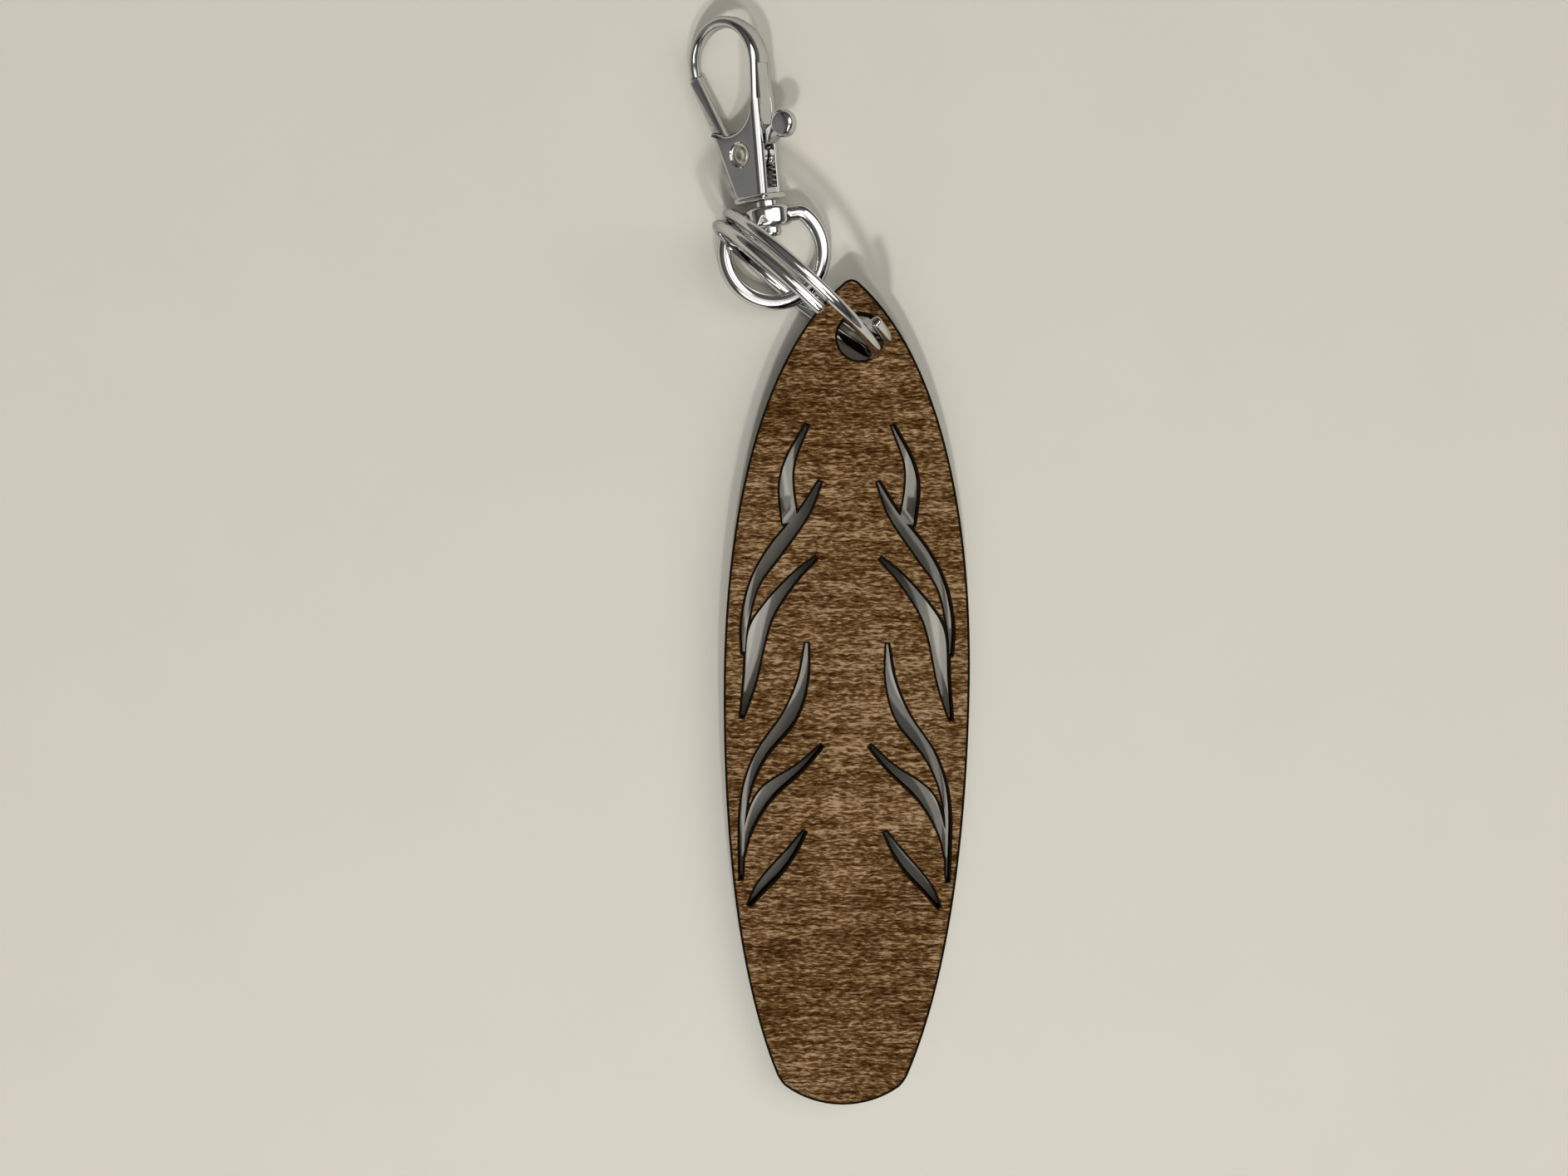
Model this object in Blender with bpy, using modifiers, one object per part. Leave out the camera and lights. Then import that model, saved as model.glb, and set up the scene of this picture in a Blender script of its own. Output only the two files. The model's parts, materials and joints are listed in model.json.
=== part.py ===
"""Keychain: a laser-cut wooden surfboard tag, a split ring and a swivel trigger clasp, lying on a table.

Run with: blender --background --python part.py
World frame: metres, +Z up, the table at z = 0, +Y from the tag's tail towards the clasp's hook.
"""

import math

import bmesh
import bpy
from mathutils import Euler, Matrix, Vector

# Wooden tag: u across, v along the board from its middle, nose at +v
TAG_LENGTH = 0.1029
TAG_WIDTH = 0.0305
TAG_THICKNESS = 0.003
TAG_WIDEST_V = 0.0018
TAIL_WIDTH = 0.0155
TAIL_CROWN = 0.0028
TAIL_FLARE = math.radians(23.5)
NOSE_ANGLE = math.radians(52)
NOSE_HANDLE = 0.0132
SIDE_HANDLE = 0.02215
HIP_HANDLE = 0.0147
TAIL_HANDLE = 0.0156
CORNER_RADIUS = 0.0004
HOLE_DIAMETER = 0.0057
HOLE_U = 0.00115
HOLE_V = 0.044
TAG_TILT = math.radians(2.2)
TAG_TURN = math.radians(-0.62)

# Flame slots of the right half, each a stroke of (u, v, width) from its inner tip to its outer tip
SLOT_TIP = 0.0003
FLAME_SLOTS = (
    (
        (0.0053, 0.0332, SLOT_TIP),
        (0.0073, 0.0288, 0.0010),
        (0.00775, 0.0254, 0.0016),
        (0.0072, 0.0211, 0.0019),
    ),
    (
        (0.0036, 0.0262, SLOT_TIP),
        (0.00565, 0.0222, 0.0012),
        (0.0092, 0.0174, 0.0016),
        (0.0116, 0.0134, 0.0010),
        (0.0127, 0.0087, 0.00075),
        (0.01285, 0.0049, SLOT_TIP),
    ),
    (
        (0.0040, 0.0168, SLOT_TIP),
        (0.00675, 0.0142, 0.0009),
        (0.0097, 0.0104, 0.0016),
        (0.0112, 0.0071, 0.0022),
        (0.0120, 0.0015, 0.0014),
        (0.01295, -0.0031, SLOT_TIP),
    ),
    (
        (0.0050, 0.0062, SLOT_TIP),
        (0.00545, 0.0016, 0.0011),
        (0.0071, -0.0030, 0.00165),
        (0.0108, -0.0082, 0.00115),
        (0.0126, -0.0140, 0.0007),
        (0.01285, -0.0233, SLOT_TIP),
    ),
    (
        (0.0030, -0.0065, SLOT_TIP),
        (0.00575, -0.0093, 0.0009),
        (0.0099, -0.0127, 0.00175),
        (0.0120, -0.0168, 0.0010),
        (0.0127, -0.0203, SLOT_TIP),
    ),
    (
        (0.0050, -0.0172, SLOT_TIP),
        (0.0066, -0.0197, 0.0010),
        (0.0085, -0.0221, 0.0014),
        (0.0104, -0.0243, 0.0011),
        (0.0118, -0.0265, SLOT_TIP),
    ),
)
SLOT_STEPS = 4
NOSE_STEPS = 16
HIP_STEPS = 14
TAIL_STEPS = 12
CORNER_STEPS = 3

# Split ring: hard round wire, angles counted from its right-hand side up over the top
SPLIT_RING_DIAMETER = 0.0257
SPLIT_WIRE = 0.0014
SPLIT_WIRE_GAP = 0.00043
SPLIT_START = math.radians(67)
SPLIT_END = math.radians(755)
SPLIT_POINTS_PER_TURN = 24
SETTLE_STEPS = 8
SPLIT_SHIFT_U = 0.00022
SPLIT_SHIFT_V = -0.00026
SPLIT_HEADING = math.radians(-40.6)
SPLIT_LEAN = math.radians(1.2)

# Swivel ring: a cast ring with a straight top bar and a boss on it
SWIVEL_WIRE = 0.002
SWIVEL_WIDTH = 0.0142
SWIVEL_BAR_HEIGHT = 0.00445
SWIVEL_STEPS = 28
BOSS_DIAMETER = 0.0049
BOSS_HEIGHT = 0.0026
BOSS_EDGE = 0.0005
LINK_ANGLE = math.radians(229)
LINK_SHIFT_X = 0.00236
LINK_SHIFT_Y = -0.00025
LINK_RISE = 0.0007
CLASP_TURN = math.radians(9)
CLASP_PITCH = math.radians(8.2)
CLASP_ROLL = math.radians(-41)
CLASP_LEAN = math.radians(-5.5)

# Swivel stud: turned rivet through the boss into the clasp's foot
STUD_DIAMETER = 0.0016
STUD_HEAD_DIAMETER = 0.0027
STUD_HEAD_HEIGHT = 0.0011
STUD_DOME_HEIGHT = 0.00045
STUD_DOME_SHARE = 0.7
STUD_REACH = 0.0012
NECK_LENGTH = 0.0007
NECK_DIAMETER = 0.0026

# Clasp body: x towards the shank, y from the foot to the hook, z to the front cheek
BODY_THICKNESS = 0.0042
FOOT_LEFT_X = -0.0031
FLANGE_HEIGHT = 0.0009
FLANGE_PROUD = 0.0003
SHANK_X = 0.0013
SHANK_WIDTH = 0.0011
SHOULDER_X = -0.0065
SHOULDER_Y = 0.0088
SCOOP_X = -0.0041
SCOOP_Y = 0.0082
SCOOP_HANDLE = 0.55
SHOULDER_HANDLE = 0.2
SCOOP_STEPS = 8
SHOULDER_STEPS = 3
CHEEK_TOP = 0.0124
BODY_EDGE = 0.00035
FLANGE_EDGE = 0.00028
CHANNEL_WIDTH = 0.0019
CHANNEL_FLOOR = 0.0016
CHANNEL_TOP = 0.0116
STEM_SLOT_TOP = 0.0092
HOOK_TOP = 0.0225
HOOK_WIDTH = 0.0117
SHANK_DEPTH = 0.0041
HOOK_DEPTH = 0.0034
CROWN_WIDTH = 0.0015
CROWN_DEPTH = 0.0024
HOOK_TIP_DEPTH = 0.0012
HOOK_TIP_WIDTH = 0.00105
HOOK_TIP_ANGLE = math.radians(190)
HOOK_STEPS = 16
HOOK_SIDES = 12
HOOK_WIDE_ROUNDING = 0.6
HOOK_DEEP_ROUNDING = 0.45

# Gate lever, its pin and its spring
PIN_X = -0.0019
PIN_Y = 0.0058
PIN_DIAMETER = 0.0021
PIN_RECESS_DIAMETER = 0.0032
PIN_RECESS_DEPTH = 0.0003
PIN_DISH = 0.0001
PIN_EDGE = 0.00015
PIN_RIM_SHARE = 0.7
HUB_DIAMETER = 0.0046
GATE_WIDTH = 0.0014
GATE_PROUD = 0.0007
GATE_HEEL_Y = 0.0067
GATE_FOOT_RISE = 0.0012
GATE_FOOT_SPREAD = 1.2
HUB_START = 140
HUB_END = 200
KNOB_X = 0.0038
KNOB_Y = 0.0091
KNOB_DIAMETER = 0.0033
STEM_WIDTH = 0.0017
HUB_STEPS = 6
STEM_STEPS = 4
KNOB_STEPS = 18
LEVER_EDGE = 0.0002
SPRING_DIAMETER = 0.0013
SPRING_WIRE = 0.00022
SPRING_X = -0.0003
SPRING_SEAT_Y = 0.0044
SPRING_PITCH = 0.00066
SPRING_POINTS_PER_TURN = 10

# Clearances
RUNNING_GAP = 0.00006
LEVER_GAP = 0.00015
SEAT_GAP = 0.0003

ROUND_SEGMENTS = 32


def clear_scene():
    for old in list(bpy.data.objects):
        bpy.data.objects.remove(old, do_unlink=True)


def collection(name):
    group = bpy.data.collections.new(name)
    bpy.context.scene.collection.children.link(group)
    return group


def finish(name, colour, roughness, metallic):
    """A plain surface finish for one part."""
    material = bpy.data.materials.new(name)
    material.use_nodes = True
    shader = material.node_tree.nodes["Principled BSDF"]
    shader.inputs["Base Color"].default_value = (*colour, 1)
    shader.inputs["Roughness"].default_value = roughness
    shader.inputs["Metallic"].default_value = metallic
    return material


def frame(name, parent, location=(0, 0, 0), rotation=None):
    """An empty that carries a part or stands on a joint's axis."""
    empty = bpy.data.objects.new(name, None)
    empty.empty_display_size = 0.005
    empty.parent = parent
    empty.location = location
    empty.rotation_euler = rotation or Euler((0, 0, 0))
    PARTS.objects.link(empty)
    bpy.context.view_layer.update()
    return empty


def mesh_object(name, mesh, parent, group):
    made = bpy.data.objects.new(name, mesh)
    made.parent = parent
    group.objects.link(made)
    return made


def part(name, mesh, parent, material, smooth_angle=math.radians(35)):
    """A named piece of the keychain, shaded smooth across its round faces."""
    mesh.materials.clear()
    mesh.materials.append(material)
    mesh.shade_smooth()
    mesh.set_sharp_from_angle(angle=smooth_angle)
    return mesh_object(name, mesh, parent, PARTS)


def cutter(name, mesh, parent):
    tool = mesh_object(name, mesh, parent, CUTTERS)
    tool.hide_render = True
    tool.display_type = "WIRE"
    return tool


def boolean(target, tool, operation):
    step = target.modifiers.new(tool.name, "BOOLEAN")
    step.operation = operation
    step.solver = "EXACT"
    step.object = tool


def curve_to_mesh(data, weld=1e-6):
    """The mesh of a curve, with its caps welded to its sides."""
    carrier = bpy.data.objects.new(data.name, data)
    bpy.context.scene.collection.objects.link(carrier)
    bpy.context.view_layer.update()
    evaluated = carrier.evaluated_get(bpy.context.evaluated_depsgraph_get())
    mesh = bpy.data.meshes.new_from_object(evaluated)
    bpy.data.objects.remove(carrier)
    work = bmesh.new()
    work.from_mesh(mesh)
    bmesh.ops.remove_doubles(work, verts=work.verts, dist=weld)
    work.to_mesh(mesh)
    work.free()
    return mesh


def plate_curve(name, thickness):
    """An empty 2D curve that fills its outlines to a plate of this thickness."""
    data = bpy.data.curves.new(name, "CURVE")
    data.dimensions = "2D"
    data.fill_mode = "BOTH"
    data.extrude = thickness / 2
    return data


def add_outline(data, points):
    spline = data.splines.new("POLY")
    spline.points.add(len(points) - 1)
    for target, point in zip(spline.points, points):
        target.co = (point[0], point[1], 0, 1)
    spline.use_cyclic_u = True


def plate(name, points, thickness):
    """A flat plate of this outline, with one face on each side."""
    data = plate_curve(name, thickness)
    add_outline(data, points)
    mesh = curve_to_mesh(data)
    work = bmesh.new()
    work.from_mesh(mesh)
    bmesh.ops.dissolve_limit(work, angle_limit=math.radians(0.5), verts=work.verts, edges=work.edges)
    work.to_mesh(mesh)
    work.free()
    return mesh


def wire(name, points, diameter, bevel_resolution, cyclic=False):
    """Round wire along a row of points."""
    data = bpy.data.curves.new(name, "CURVE")
    data.dimensions = "3D"
    data.bevel_depth = diameter / 2
    data.bevel_resolution = bevel_resolution
    data.use_fill_caps = True
    spline = data.splines.new("POLY")
    spline.points.add(len(points) - 1)
    for target, point in zip(spline.points, points):
        target.co = (*point, 1)
    spline.use_cyclic_u = cyclic
    return curve_to_mesh(data)


def cylinder(diameter, length, axis="Z", segments=ROUND_SEGMENTS):
    """A round bar centred on the origin, along its local Z or Y axis."""
    work = bmesh.new()
    bmesh.ops.create_cone(
        work,
        cap_ends=True,
        segments=segments,
        radius1=diameter / 2,
        radius2=diameter / 2,
        depth=length,
    )
    if axis == "Y":
        bmesh.ops.rotate(work, verts=work.verts, matrix=Matrix.Rotation(math.radians(-90), 3, "X"))
    mesh = bpy.data.meshes.new("cylinder")
    work.to_mesh(mesh)
    work.free()
    return mesh


def box(low, high):
    """A block between two corners."""
    work = bmesh.new()
    bmesh.ops.create_cube(work, size=1)
    sides = [b - a for a, b in zip(low, high)]
    middle = [(a + b) / 2 for a, b in zip(low, high)]
    bmesh.ops.scale(work, verts=work.verts, vec=sides)
    bmesh.ops.translate(work, verts=work.verts, vec=middle)
    mesh = bpy.data.meshes.new("box")
    work.to_mesh(mesh)
    work.free()
    return mesh


def turned(name, profile):
    """A mesh turned about local Y from (radius, y) points that run down the outer side."""
    work = bmesh.new()
    rows = [work.verts.new((radius, y, 0)) for radius, y in profile]
    edges = [work.edges.new(pair) for pair in zip(rows, rows[1:])]
    bmesh.ops.spin(
        work,
        geom=rows + edges,
        cent=(0, 0, 0),
        axis=(0, 1, 0),
        angle=2 * math.pi,
        steps=ROUND_SEGMENTS,
        use_merge=True,
    )
    bmesh.ops.remove_doubles(work, verts=work.verts, dist=1e-7)
    bmesh.ops.recalc_face_normals(work, faces=work.faces)
    mesh = bpy.data.meshes.new(name)
    work.to_mesh(mesh)
    work.free()
    return mesh


def rounded_edges(target, width, segments=2, angle=math.radians(40)):
    step = target.modifiers.new("rounded_edges", "BEVEL")
    step.width = width
    step.segments = segments
    step.limit_method = "ANGLE"
    step.angle_limit = angle
    step.use_clamp_overlap = True


def bezier(start, leave, arrive, end, steps):
    """Points of one Bezier arc, its last point left out."""
    made = []
    for index in range(steps):
        t = index / steps
        s = 1 - t
        made.append(start * s**3 + leave * 3 * s * s * t + arrive * 3 * s * t * t + end * t**3)
    return made


def smooth_rows(rows, steps):
    """Rows of numbers along a smooth line through the given rows, both ends kept."""
    rows = [Vector(row) for row in rows]
    ends = [2 * rows[0] - rows[1], *rows, 2 * rows[-1] - rows[-2]]
    made = []
    for before, start, end, after in zip(ends, ends[1:], ends[2:], ends[3:]):
        made += bezier(start, start + (end - before) / 6, end - (after - start) / 6, end, steps)
    return [*made, rows[-1]]


def stroke_outline(spine, side):
    """The outline of a tapered slot, on the right (side 1) or the left (side -1)."""
    rows = smooth_rows(spine, SLOT_STEPS)
    left, right = [], []
    for index, row in enumerate(rows):
        ahead = rows[min(index + 1, len(rows) - 1)] - rows[max(index - 1, 0)]
        across = Vector((-ahead.y, ahead.x)).normalized() * row.z / 2
        left.append(Vector((side * (row.x + across.x), row.y + across.y)))
        right.append(Vector((side * (row.x - across.x), row.y - across.y)))
    return left + right[::-1]


def board_outline():
    """The surfboard seen from above, from the nose round by the right side."""
    nose = Vector((0, TAG_LENGTH / 2))
    widest = Vector((TAG_WIDTH / 2, TAG_WIDEST_V))
    tail = Vector((TAIL_WIDTH / 2, TAIL_CROWN - TAG_LENGTH / 2))
    nose_leave = nose + NOSE_HANDLE * Vector((math.sin(NOSE_ANGLE), -math.cos(NOSE_ANGLE)))
    tail_arrive = tail + TAIL_HANDLE * Vector((math.sin(TAIL_FLARE), math.cos(TAIL_FLARE)))
    right = bezier(nose, nose_leave, widest + Vector((0, SIDE_HANDLE)), widest, NOSE_STEPS)
    right += bezier(widest, widest - Vector((0, HIP_HANDLE)), tail_arrive, tail, HIP_STEPS)
    tail_radius = (TAIL_WIDTH**2 / 4 + TAIL_CROWN**2) / (2 * TAIL_CROWN)
    half_turn = math.asin(TAIL_WIDTH / 2 / tail_radius)
    centre_v = tail_radius - TAG_LENGTH / 2
    arc = []
    for index in range(TAIL_STEPS + 1):
        turn = half_turn * (1 - 2 * index / TAIL_STEPS)
        arc.append(Vector((tail_radius * math.sin(turn), centre_v - tail_radius * math.cos(turn))))
    left = [Vector((-point.x, point.y)) for point in right[:0:-1]]
    return right + arc + left


def round_corners(mesh, corners):
    """Rounds the upright edges of a plate that stand at the given corners."""
    work = bmesh.new()
    work.from_mesh(mesh)
    upright = []
    for edge in work.edges:
        a, b = (vertex.co for vertex in edge.verts)
        if abs(a.z - b.z) > TAG_THICKNESS / 2 and any((a.xy - corner).length < 1e-6 for corner in corners):
            upright.append(edge)
    bmesh.ops.bevel(
        work,
        geom=upright,
        affect="EDGES",
        offset=CORNER_RADIUS,
        segments=CORNER_STEPS,
        profile=0.5,
        material=-1,
    )
    work.to_mesh(mesh)
    work.free()


def build_tag(parent):
    """The wooden tag: board outline, ring hole and six flame slots a side."""
    mesh = plate("surf_tag", board_outline(), TAG_THICKNESS)
    tail_v = TAIL_CROWN - TAG_LENGTH / 2
    nose = Vector((0, TAG_LENGTH / 2))
    corners = [nose, Vector((TAIL_WIDTH / 2, tail_v)), Vector((-TAIL_WIDTH / 2, tail_v))]
    round_corners(mesh, corners)
    wood = finish("brown_wood", (0.17, 0.091, 0.032), 0.6, 0)
    tag = part("surf_tag", mesh, parent, wood)
    hole = cutter("ring_hole_cutter", cylinder(HOLE_DIAMETER, 3 * TAG_THICKNESS), parent)
    hole.location = (HOLE_U, HOLE_V, 0)
    boolean(tag, hole, "DIFFERENCE")
    for side in (1, -1):
        for number, spine in enumerate(FLAME_SLOTS):
            slot = plate("flame_slot", stroke_outline(spine, side), 3 * TAG_THICKNESS)
            name = f"flame_cutter_{'right' if side > 0 else 'left'}_{number}"
            boolean(tag, cutter(name, slot, parent), "DIFFERENCE")
    return tag


def split_ring_points(hole_angle):
    """The wire's middle line: a helix about local Z, its two turns even about the tag's hole."""
    radius = (SPLIT_RING_DIAMETER - SPLIT_WIRE) / 2
    pitch = SPLIT_WIRE + SPLIT_WIRE_GAP
    middle = math.radians(540) + hole_angle
    count = round((SPLIT_END - SPLIT_START) / math.radians(360) * SPLIT_POINTS_PER_TURN)
    points = []
    for index in range(count + 1):
        angle = SPLIT_START + (SPLIT_END - SPLIT_START) * index / count
        height = pitch * (middle - angle) / math.radians(360)
        points.append(Vector((radius * math.cos(angle), radius * math.sin(angle), height)))
    return points


def least_gap(points, wire_diameter, neighbours):
    """Least clear space between a wire and itself, past the given count of neighbouring points."""
    closest = min(
        (a - b).length
        for index, a in enumerate(points)
        for b in points[index + neighbours :]
    )
    return closest - wire_diameter


def build_split_ring(parent, hole_angle):
    points = split_ring_points(hole_angle)
    gap = least_gap(points, SPLIT_WIRE, SPLIT_POINTS_PER_TURN // 2)
    print(f"split_ring: least gap to itself {gap * 1000:.2f} mm")
    steel = finish("plated_wire", (0.8, 0.8, 0.79), 0.12, 1)
    mesh = wire("split_ring", points, SPLIT_WIRE, 1)
    return part("split_ring", mesh, parent, steel, math.radians(65))


def swivel_ring_points():
    """The cast ring's middle line: a round loop, cut straight along its top bar."""
    radius = (SWIVEL_WIDTH - SWIVEL_WIRE) / 2
    corner = math.asin(SWIVEL_BAR_HEIGHT / radius)
    points = []
    for index in range(SWIVEL_STEPS + 1):
        angle = math.pi - corner + (math.pi + 2 * corner) * index / SWIVEL_STEPS
        points.append(Vector((radius * math.cos(angle), radius * math.sin(angle), 0)))
    return points


def build_swivel_ring(parent):
    """The ring of the clasp, with the boss that turns on the stud."""
    silver = finish("swivel_plating", (0.82, 0.82, 0.81), 0.1, 1)
    mesh = wire("swivel_ring", swivel_ring_points(), SWIVEL_WIRE, 3, cyclic=True)
    ring = part("swivel_ring", mesh, parent, silver)
    boss = cutter("boss_joiner", cylinder(BOSS_DIAMETER, BOSS_HEIGHT, "Y"), parent)
    boss.location = (0, SWIVEL_BAR_HEIGHT, 0)
    rounded_edges(boss, BOSS_EDGE)
    bore = cutter("boss_bore_cutter", cylinder(STUD_DIAMETER + 2 * RUNNING_GAP, 3 * BOSS_HEIGHT, "Y"), parent)
    bore.location = boss.location
    boolean(ring, boss, "UNION")
    boolean(ring, bore, "DIFFERENCE")
    return ring


def build_swivel_stud(parent):
    """The stud on the swivel's axis, y counted from the clasp's foot."""
    under_boss = -NECK_LENGTH - BOSS_HEIGHT - RUNNING_GAP
    head_radius = STUD_HEAD_DIAMETER / 2
    shank_radius = STUD_DIAMETER / 2
    neck_radius = NECK_DIAMETER / 2
    profile = [
        (0, STUD_REACH),
        (shank_radius, STUD_REACH),
        (shank_radius, -RUNNING_GAP),
        (neck_radius, -RUNNING_GAP),
        (neck_radius, -NECK_LENGTH + RUNNING_GAP),
        (shank_radius, -NECK_LENGTH + RUNNING_GAP),
        (shank_radius, under_boss),
        (head_radius, under_boss),
        (head_radius, under_boss - STUD_HEAD_HEIGHT + STUD_DOME_HEIGHT),
        (head_radius * STUD_DOME_SHARE, under_boss - STUD_HEAD_HEIGHT),
        (0, under_boss - STUD_HEAD_HEIGHT),
    ]
    plating = finish("stud_plating", (0.75, 0.75, 0.74), 0.15, 1)
    return part("swivel_stud", turned("swivel_stud", profile), parent, plating)


def foot_point(x):
    """A point of the cheeks' lower edge, which stays inside the flange square to the stud."""
    return Vector((x, FLANGE_HEIGHT / 2 - x * math.tan(CLASP_LEAN)))


def cheek_outline():
    """The two cheeks seen from the front: foot, shank side, scoop and shoulder."""
    shank_inner = SHANK_X - SHANK_WIDTH
    top = Vector((shank_inner, CHEEK_TOP))
    scoop = Vector((SCOOP_X, SCOOP_Y))
    shoulder = Vector((SHOULDER_X, SHOULDER_Y))
    drop = Vector((0, (SCOOP_Y - CHEEK_TOP) * SCOOP_HANDLE))
    reach = Vector((shank_inner - SCOOP_X, 0))
    outline = [foot_point(FOOT_LEFT_X), foot_point(SHANK_X), Vector((SHANK_X, CHEEK_TOP))]
    outline += bezier(top, top + drop, scoop + reach * SCOOP_HANDLE, scoop, SCOOP_STEPS)
    leave = scoop - reach * SHOULDER_HANDLE
    outline += bezier(scoop, leave, shoulder + reach * SHOULDER_HANDLE, shoulder, SHOULDER_STEPS)
    return [*outline, shoulder]


def channel_outline():
    """The channel between the cheeks, open at the gate's side and at the stem below the shank."""
    far = 2 * HOOK_WIDTH
    shank_inner = SHANK_X - SHANK_WIDTH
    return [
        Vector((-far, CHANNEL_FLOOR)),
        Vector((far, CHANNEL_FLOOR)),
        Vector((far, STEM_SLOT_TOP)),
        Vector((shank_inner, STEM_SLOT_TOP)),
        Vector((shank_inner, CHANNEL_TOP)),
        Vector((-far, CHANNEL_TOP)),
    ]


def hook_point(turn):
    """A point on the hook's middle line, which is an arc from the shank."""
    radius = (HOOK_WIDTH - SHANK_WIDTH) / 2
    centre = Vector((SHANK_X - HOOK_WIDTH / 2, HOOK_TOP - SHANK_WIDTH / 2 - radius))
    return centre + radius * Vector((math.cos(turn), math.sin(turn)))


def taper(share, start, crown, tip):
    """A size of the hook, at a share of its arc from the shank by the crown to the tip."""
    if share < 0.5:
        return start + (crown - start) * share * 2
    return crown + (tip - crown) * (share * 2 - 1)


def hook_sections():
    """Sections of the hook from the shank over the crown to its tip: middle, direction, width and depth."""
    start = Vector((SHANK_X - SHANK_WIDTH / 2, CHANNEL_TOP))
    sections = [(start, math.radians(90), SHANK_WIDTH, SHANK_DEPTH)]
    for index in range(HOOK_STEPS + 1):
        share = index / HOOK_STEPS
        turn = HOOK_TIP_ANGLE * share
        width = taper(share, SHANK_WIDTH, CROWN_WIDTH, HOOK_TIP_WIDTH)
        depth = taper(share, HOOK_DEPTH, CROWN_DEPTH, HOOK_TIP_DEPTH)
        sections.append((hook_point(turn), turn + math.radians(90), width, depth))
    return sections


def hook_mesh():
    """A loft through the hook's sections, whose depth tapers to the tip."""
    work = bmesh.new()
    loops = []
    for middle, heading, width, depth in hook_sections():
        across = Vector((math.sin(heading), -math.cos(heading)))
        loop = []
        for index in range(HOOK_SIDES):
            angle = 2 * math.pi * (index + 0.5) / HOOK_SIDES
            wide = math.copysign(abs(math.cos(angle)) ** HOOK_WIDE_ROUNDING, math.cos(angle)) * width / 2
            deep = math.copysign(abs(math.sin(angle)) ** HOOK_DEEP_ROUNDING, math.sin(angle)) * depth / 2
            place = middle + across * wide
            loop.append(work.verts.new((place.x, place.y, deep)))
        loops.append(loop)
    for first, second in zip(loops, loops[1:]):
        for index in range(HOOK_SIDES):
            after = (index + 1) % HOOK_SIDES
            work.faces.new((first[index], first[after], second[after], second[index]))
    work.faces.new(loops[0][::-1])
    work.faces.new(loops[-1])
    bmesh.ops.recalc_face_normals(work, faces=work.faces)
    mesh = bpy.data.meshes.new("hook")
    work.to_mesh(mesh)
    work.free()
    return mesh


def build_clasp_body(parent, stud_frame):
    """The cast body: two cheeks on a foot, an open channel between them, and the hook."""
    silver = finish("clasp_plating", (0.8, 0.8, 0.79), 0.12, 1)
    body = part("clasp_body", plate("clasp_body", cheek_outline(), BODY_THICKNESS), parent, silver)
    weld = body.modifiers.new("weld", "WELD")
    weld.merge_threshold = 1e-6
    rounded_edges(body, BODY_EDGE)
    channel = plate("channel_cutter", channel_outline(), CHANNEL_WIDTH)
    boolean(body, cutter("channel_cutter", channel, parent), "DIFFERENCE")
    boolean(body, cutter("hook_joiner", hook_mesh(), parent), "UNION")
    low = (FOOT_LEFT_X - FLANGE_PROUD, 0, -BODY_THICKNESS / 2 - FLANGE_PROUD / 2)
    high = (SHANK_X + FLANGE_PROUD, FLANGE_HEIGHT, BODY_THICKNESS / 2 + FLANGE_PROUD / 2)
    flange = cutter("foot_flange_joiner", box(low, high), stud_frame)
    rounded_edges(flange, FLANGE_EDGE)
    boolean(body, flange, "UNION")
    hole = cutter("pin_hole_cutter", cylinder(PIN_DIAMETER + 2 * RUNNING_GAP, 3 * BODY_THICKNESS), parent)
    hole.location = (PIN_X, PIN_Y, 0)
    boolean(body, hole, "DIFFERENCE")
    for side in (1, -1):
        recess = cutter("pin_recess_cutter", cylinder(PIN_RECESS_DIAMETER, 2 * PIN_RECESS_DEPTH), parent)
        recess.location = (PIN_X, PIN_Y, side * BODY_THICKNESS / 2)
        boolean(body, recess, "DIFFERENCE")
    bar = cylinder(STUD_DIAMETER + 2 * RUNNING_GAP, 2 * STUD_REACH + 2 * RUNNING_GAP, "Y")
    boolean(body, cutter("stud_socket_cutter", bar, stud_frame), "DIFFERENCE")
    return body


def build_pivot_pin(parent):
    """The rivet through both cheeks, its ends dished in their recesses."""
    radius = PIN_DIAMETER / 2
    half = BODY_THICKNESS / 2 - PIN_RECESS_DEPTH / 2
    profile = [(0, half - PIN_DISH), (radius * PIN_RIM_SHARE, half), (radius, half - PIN_EDGE)]
    profile += [(point[0], -point[1]) for point in reversed(profile)]
    mesh = turned("pivot_pin", profile)
    mesh.transform(Matrix.Rotation(math.radians(90), 4, "X"))
    return part("pivot_pin", mesh, parent, finish("pin_nickel", (0.7, 0.68, 0.6), 0.25, 1))


def arc_points(centre, radius, start, end, steps):
    made = []
    for index in range(steps + 1):
        turn = math.radians(start + (end - start) * index / steps)
        made.append(centre + radius * Vector((math.cos(turn), math.sin(turn))))
    return made


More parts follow.
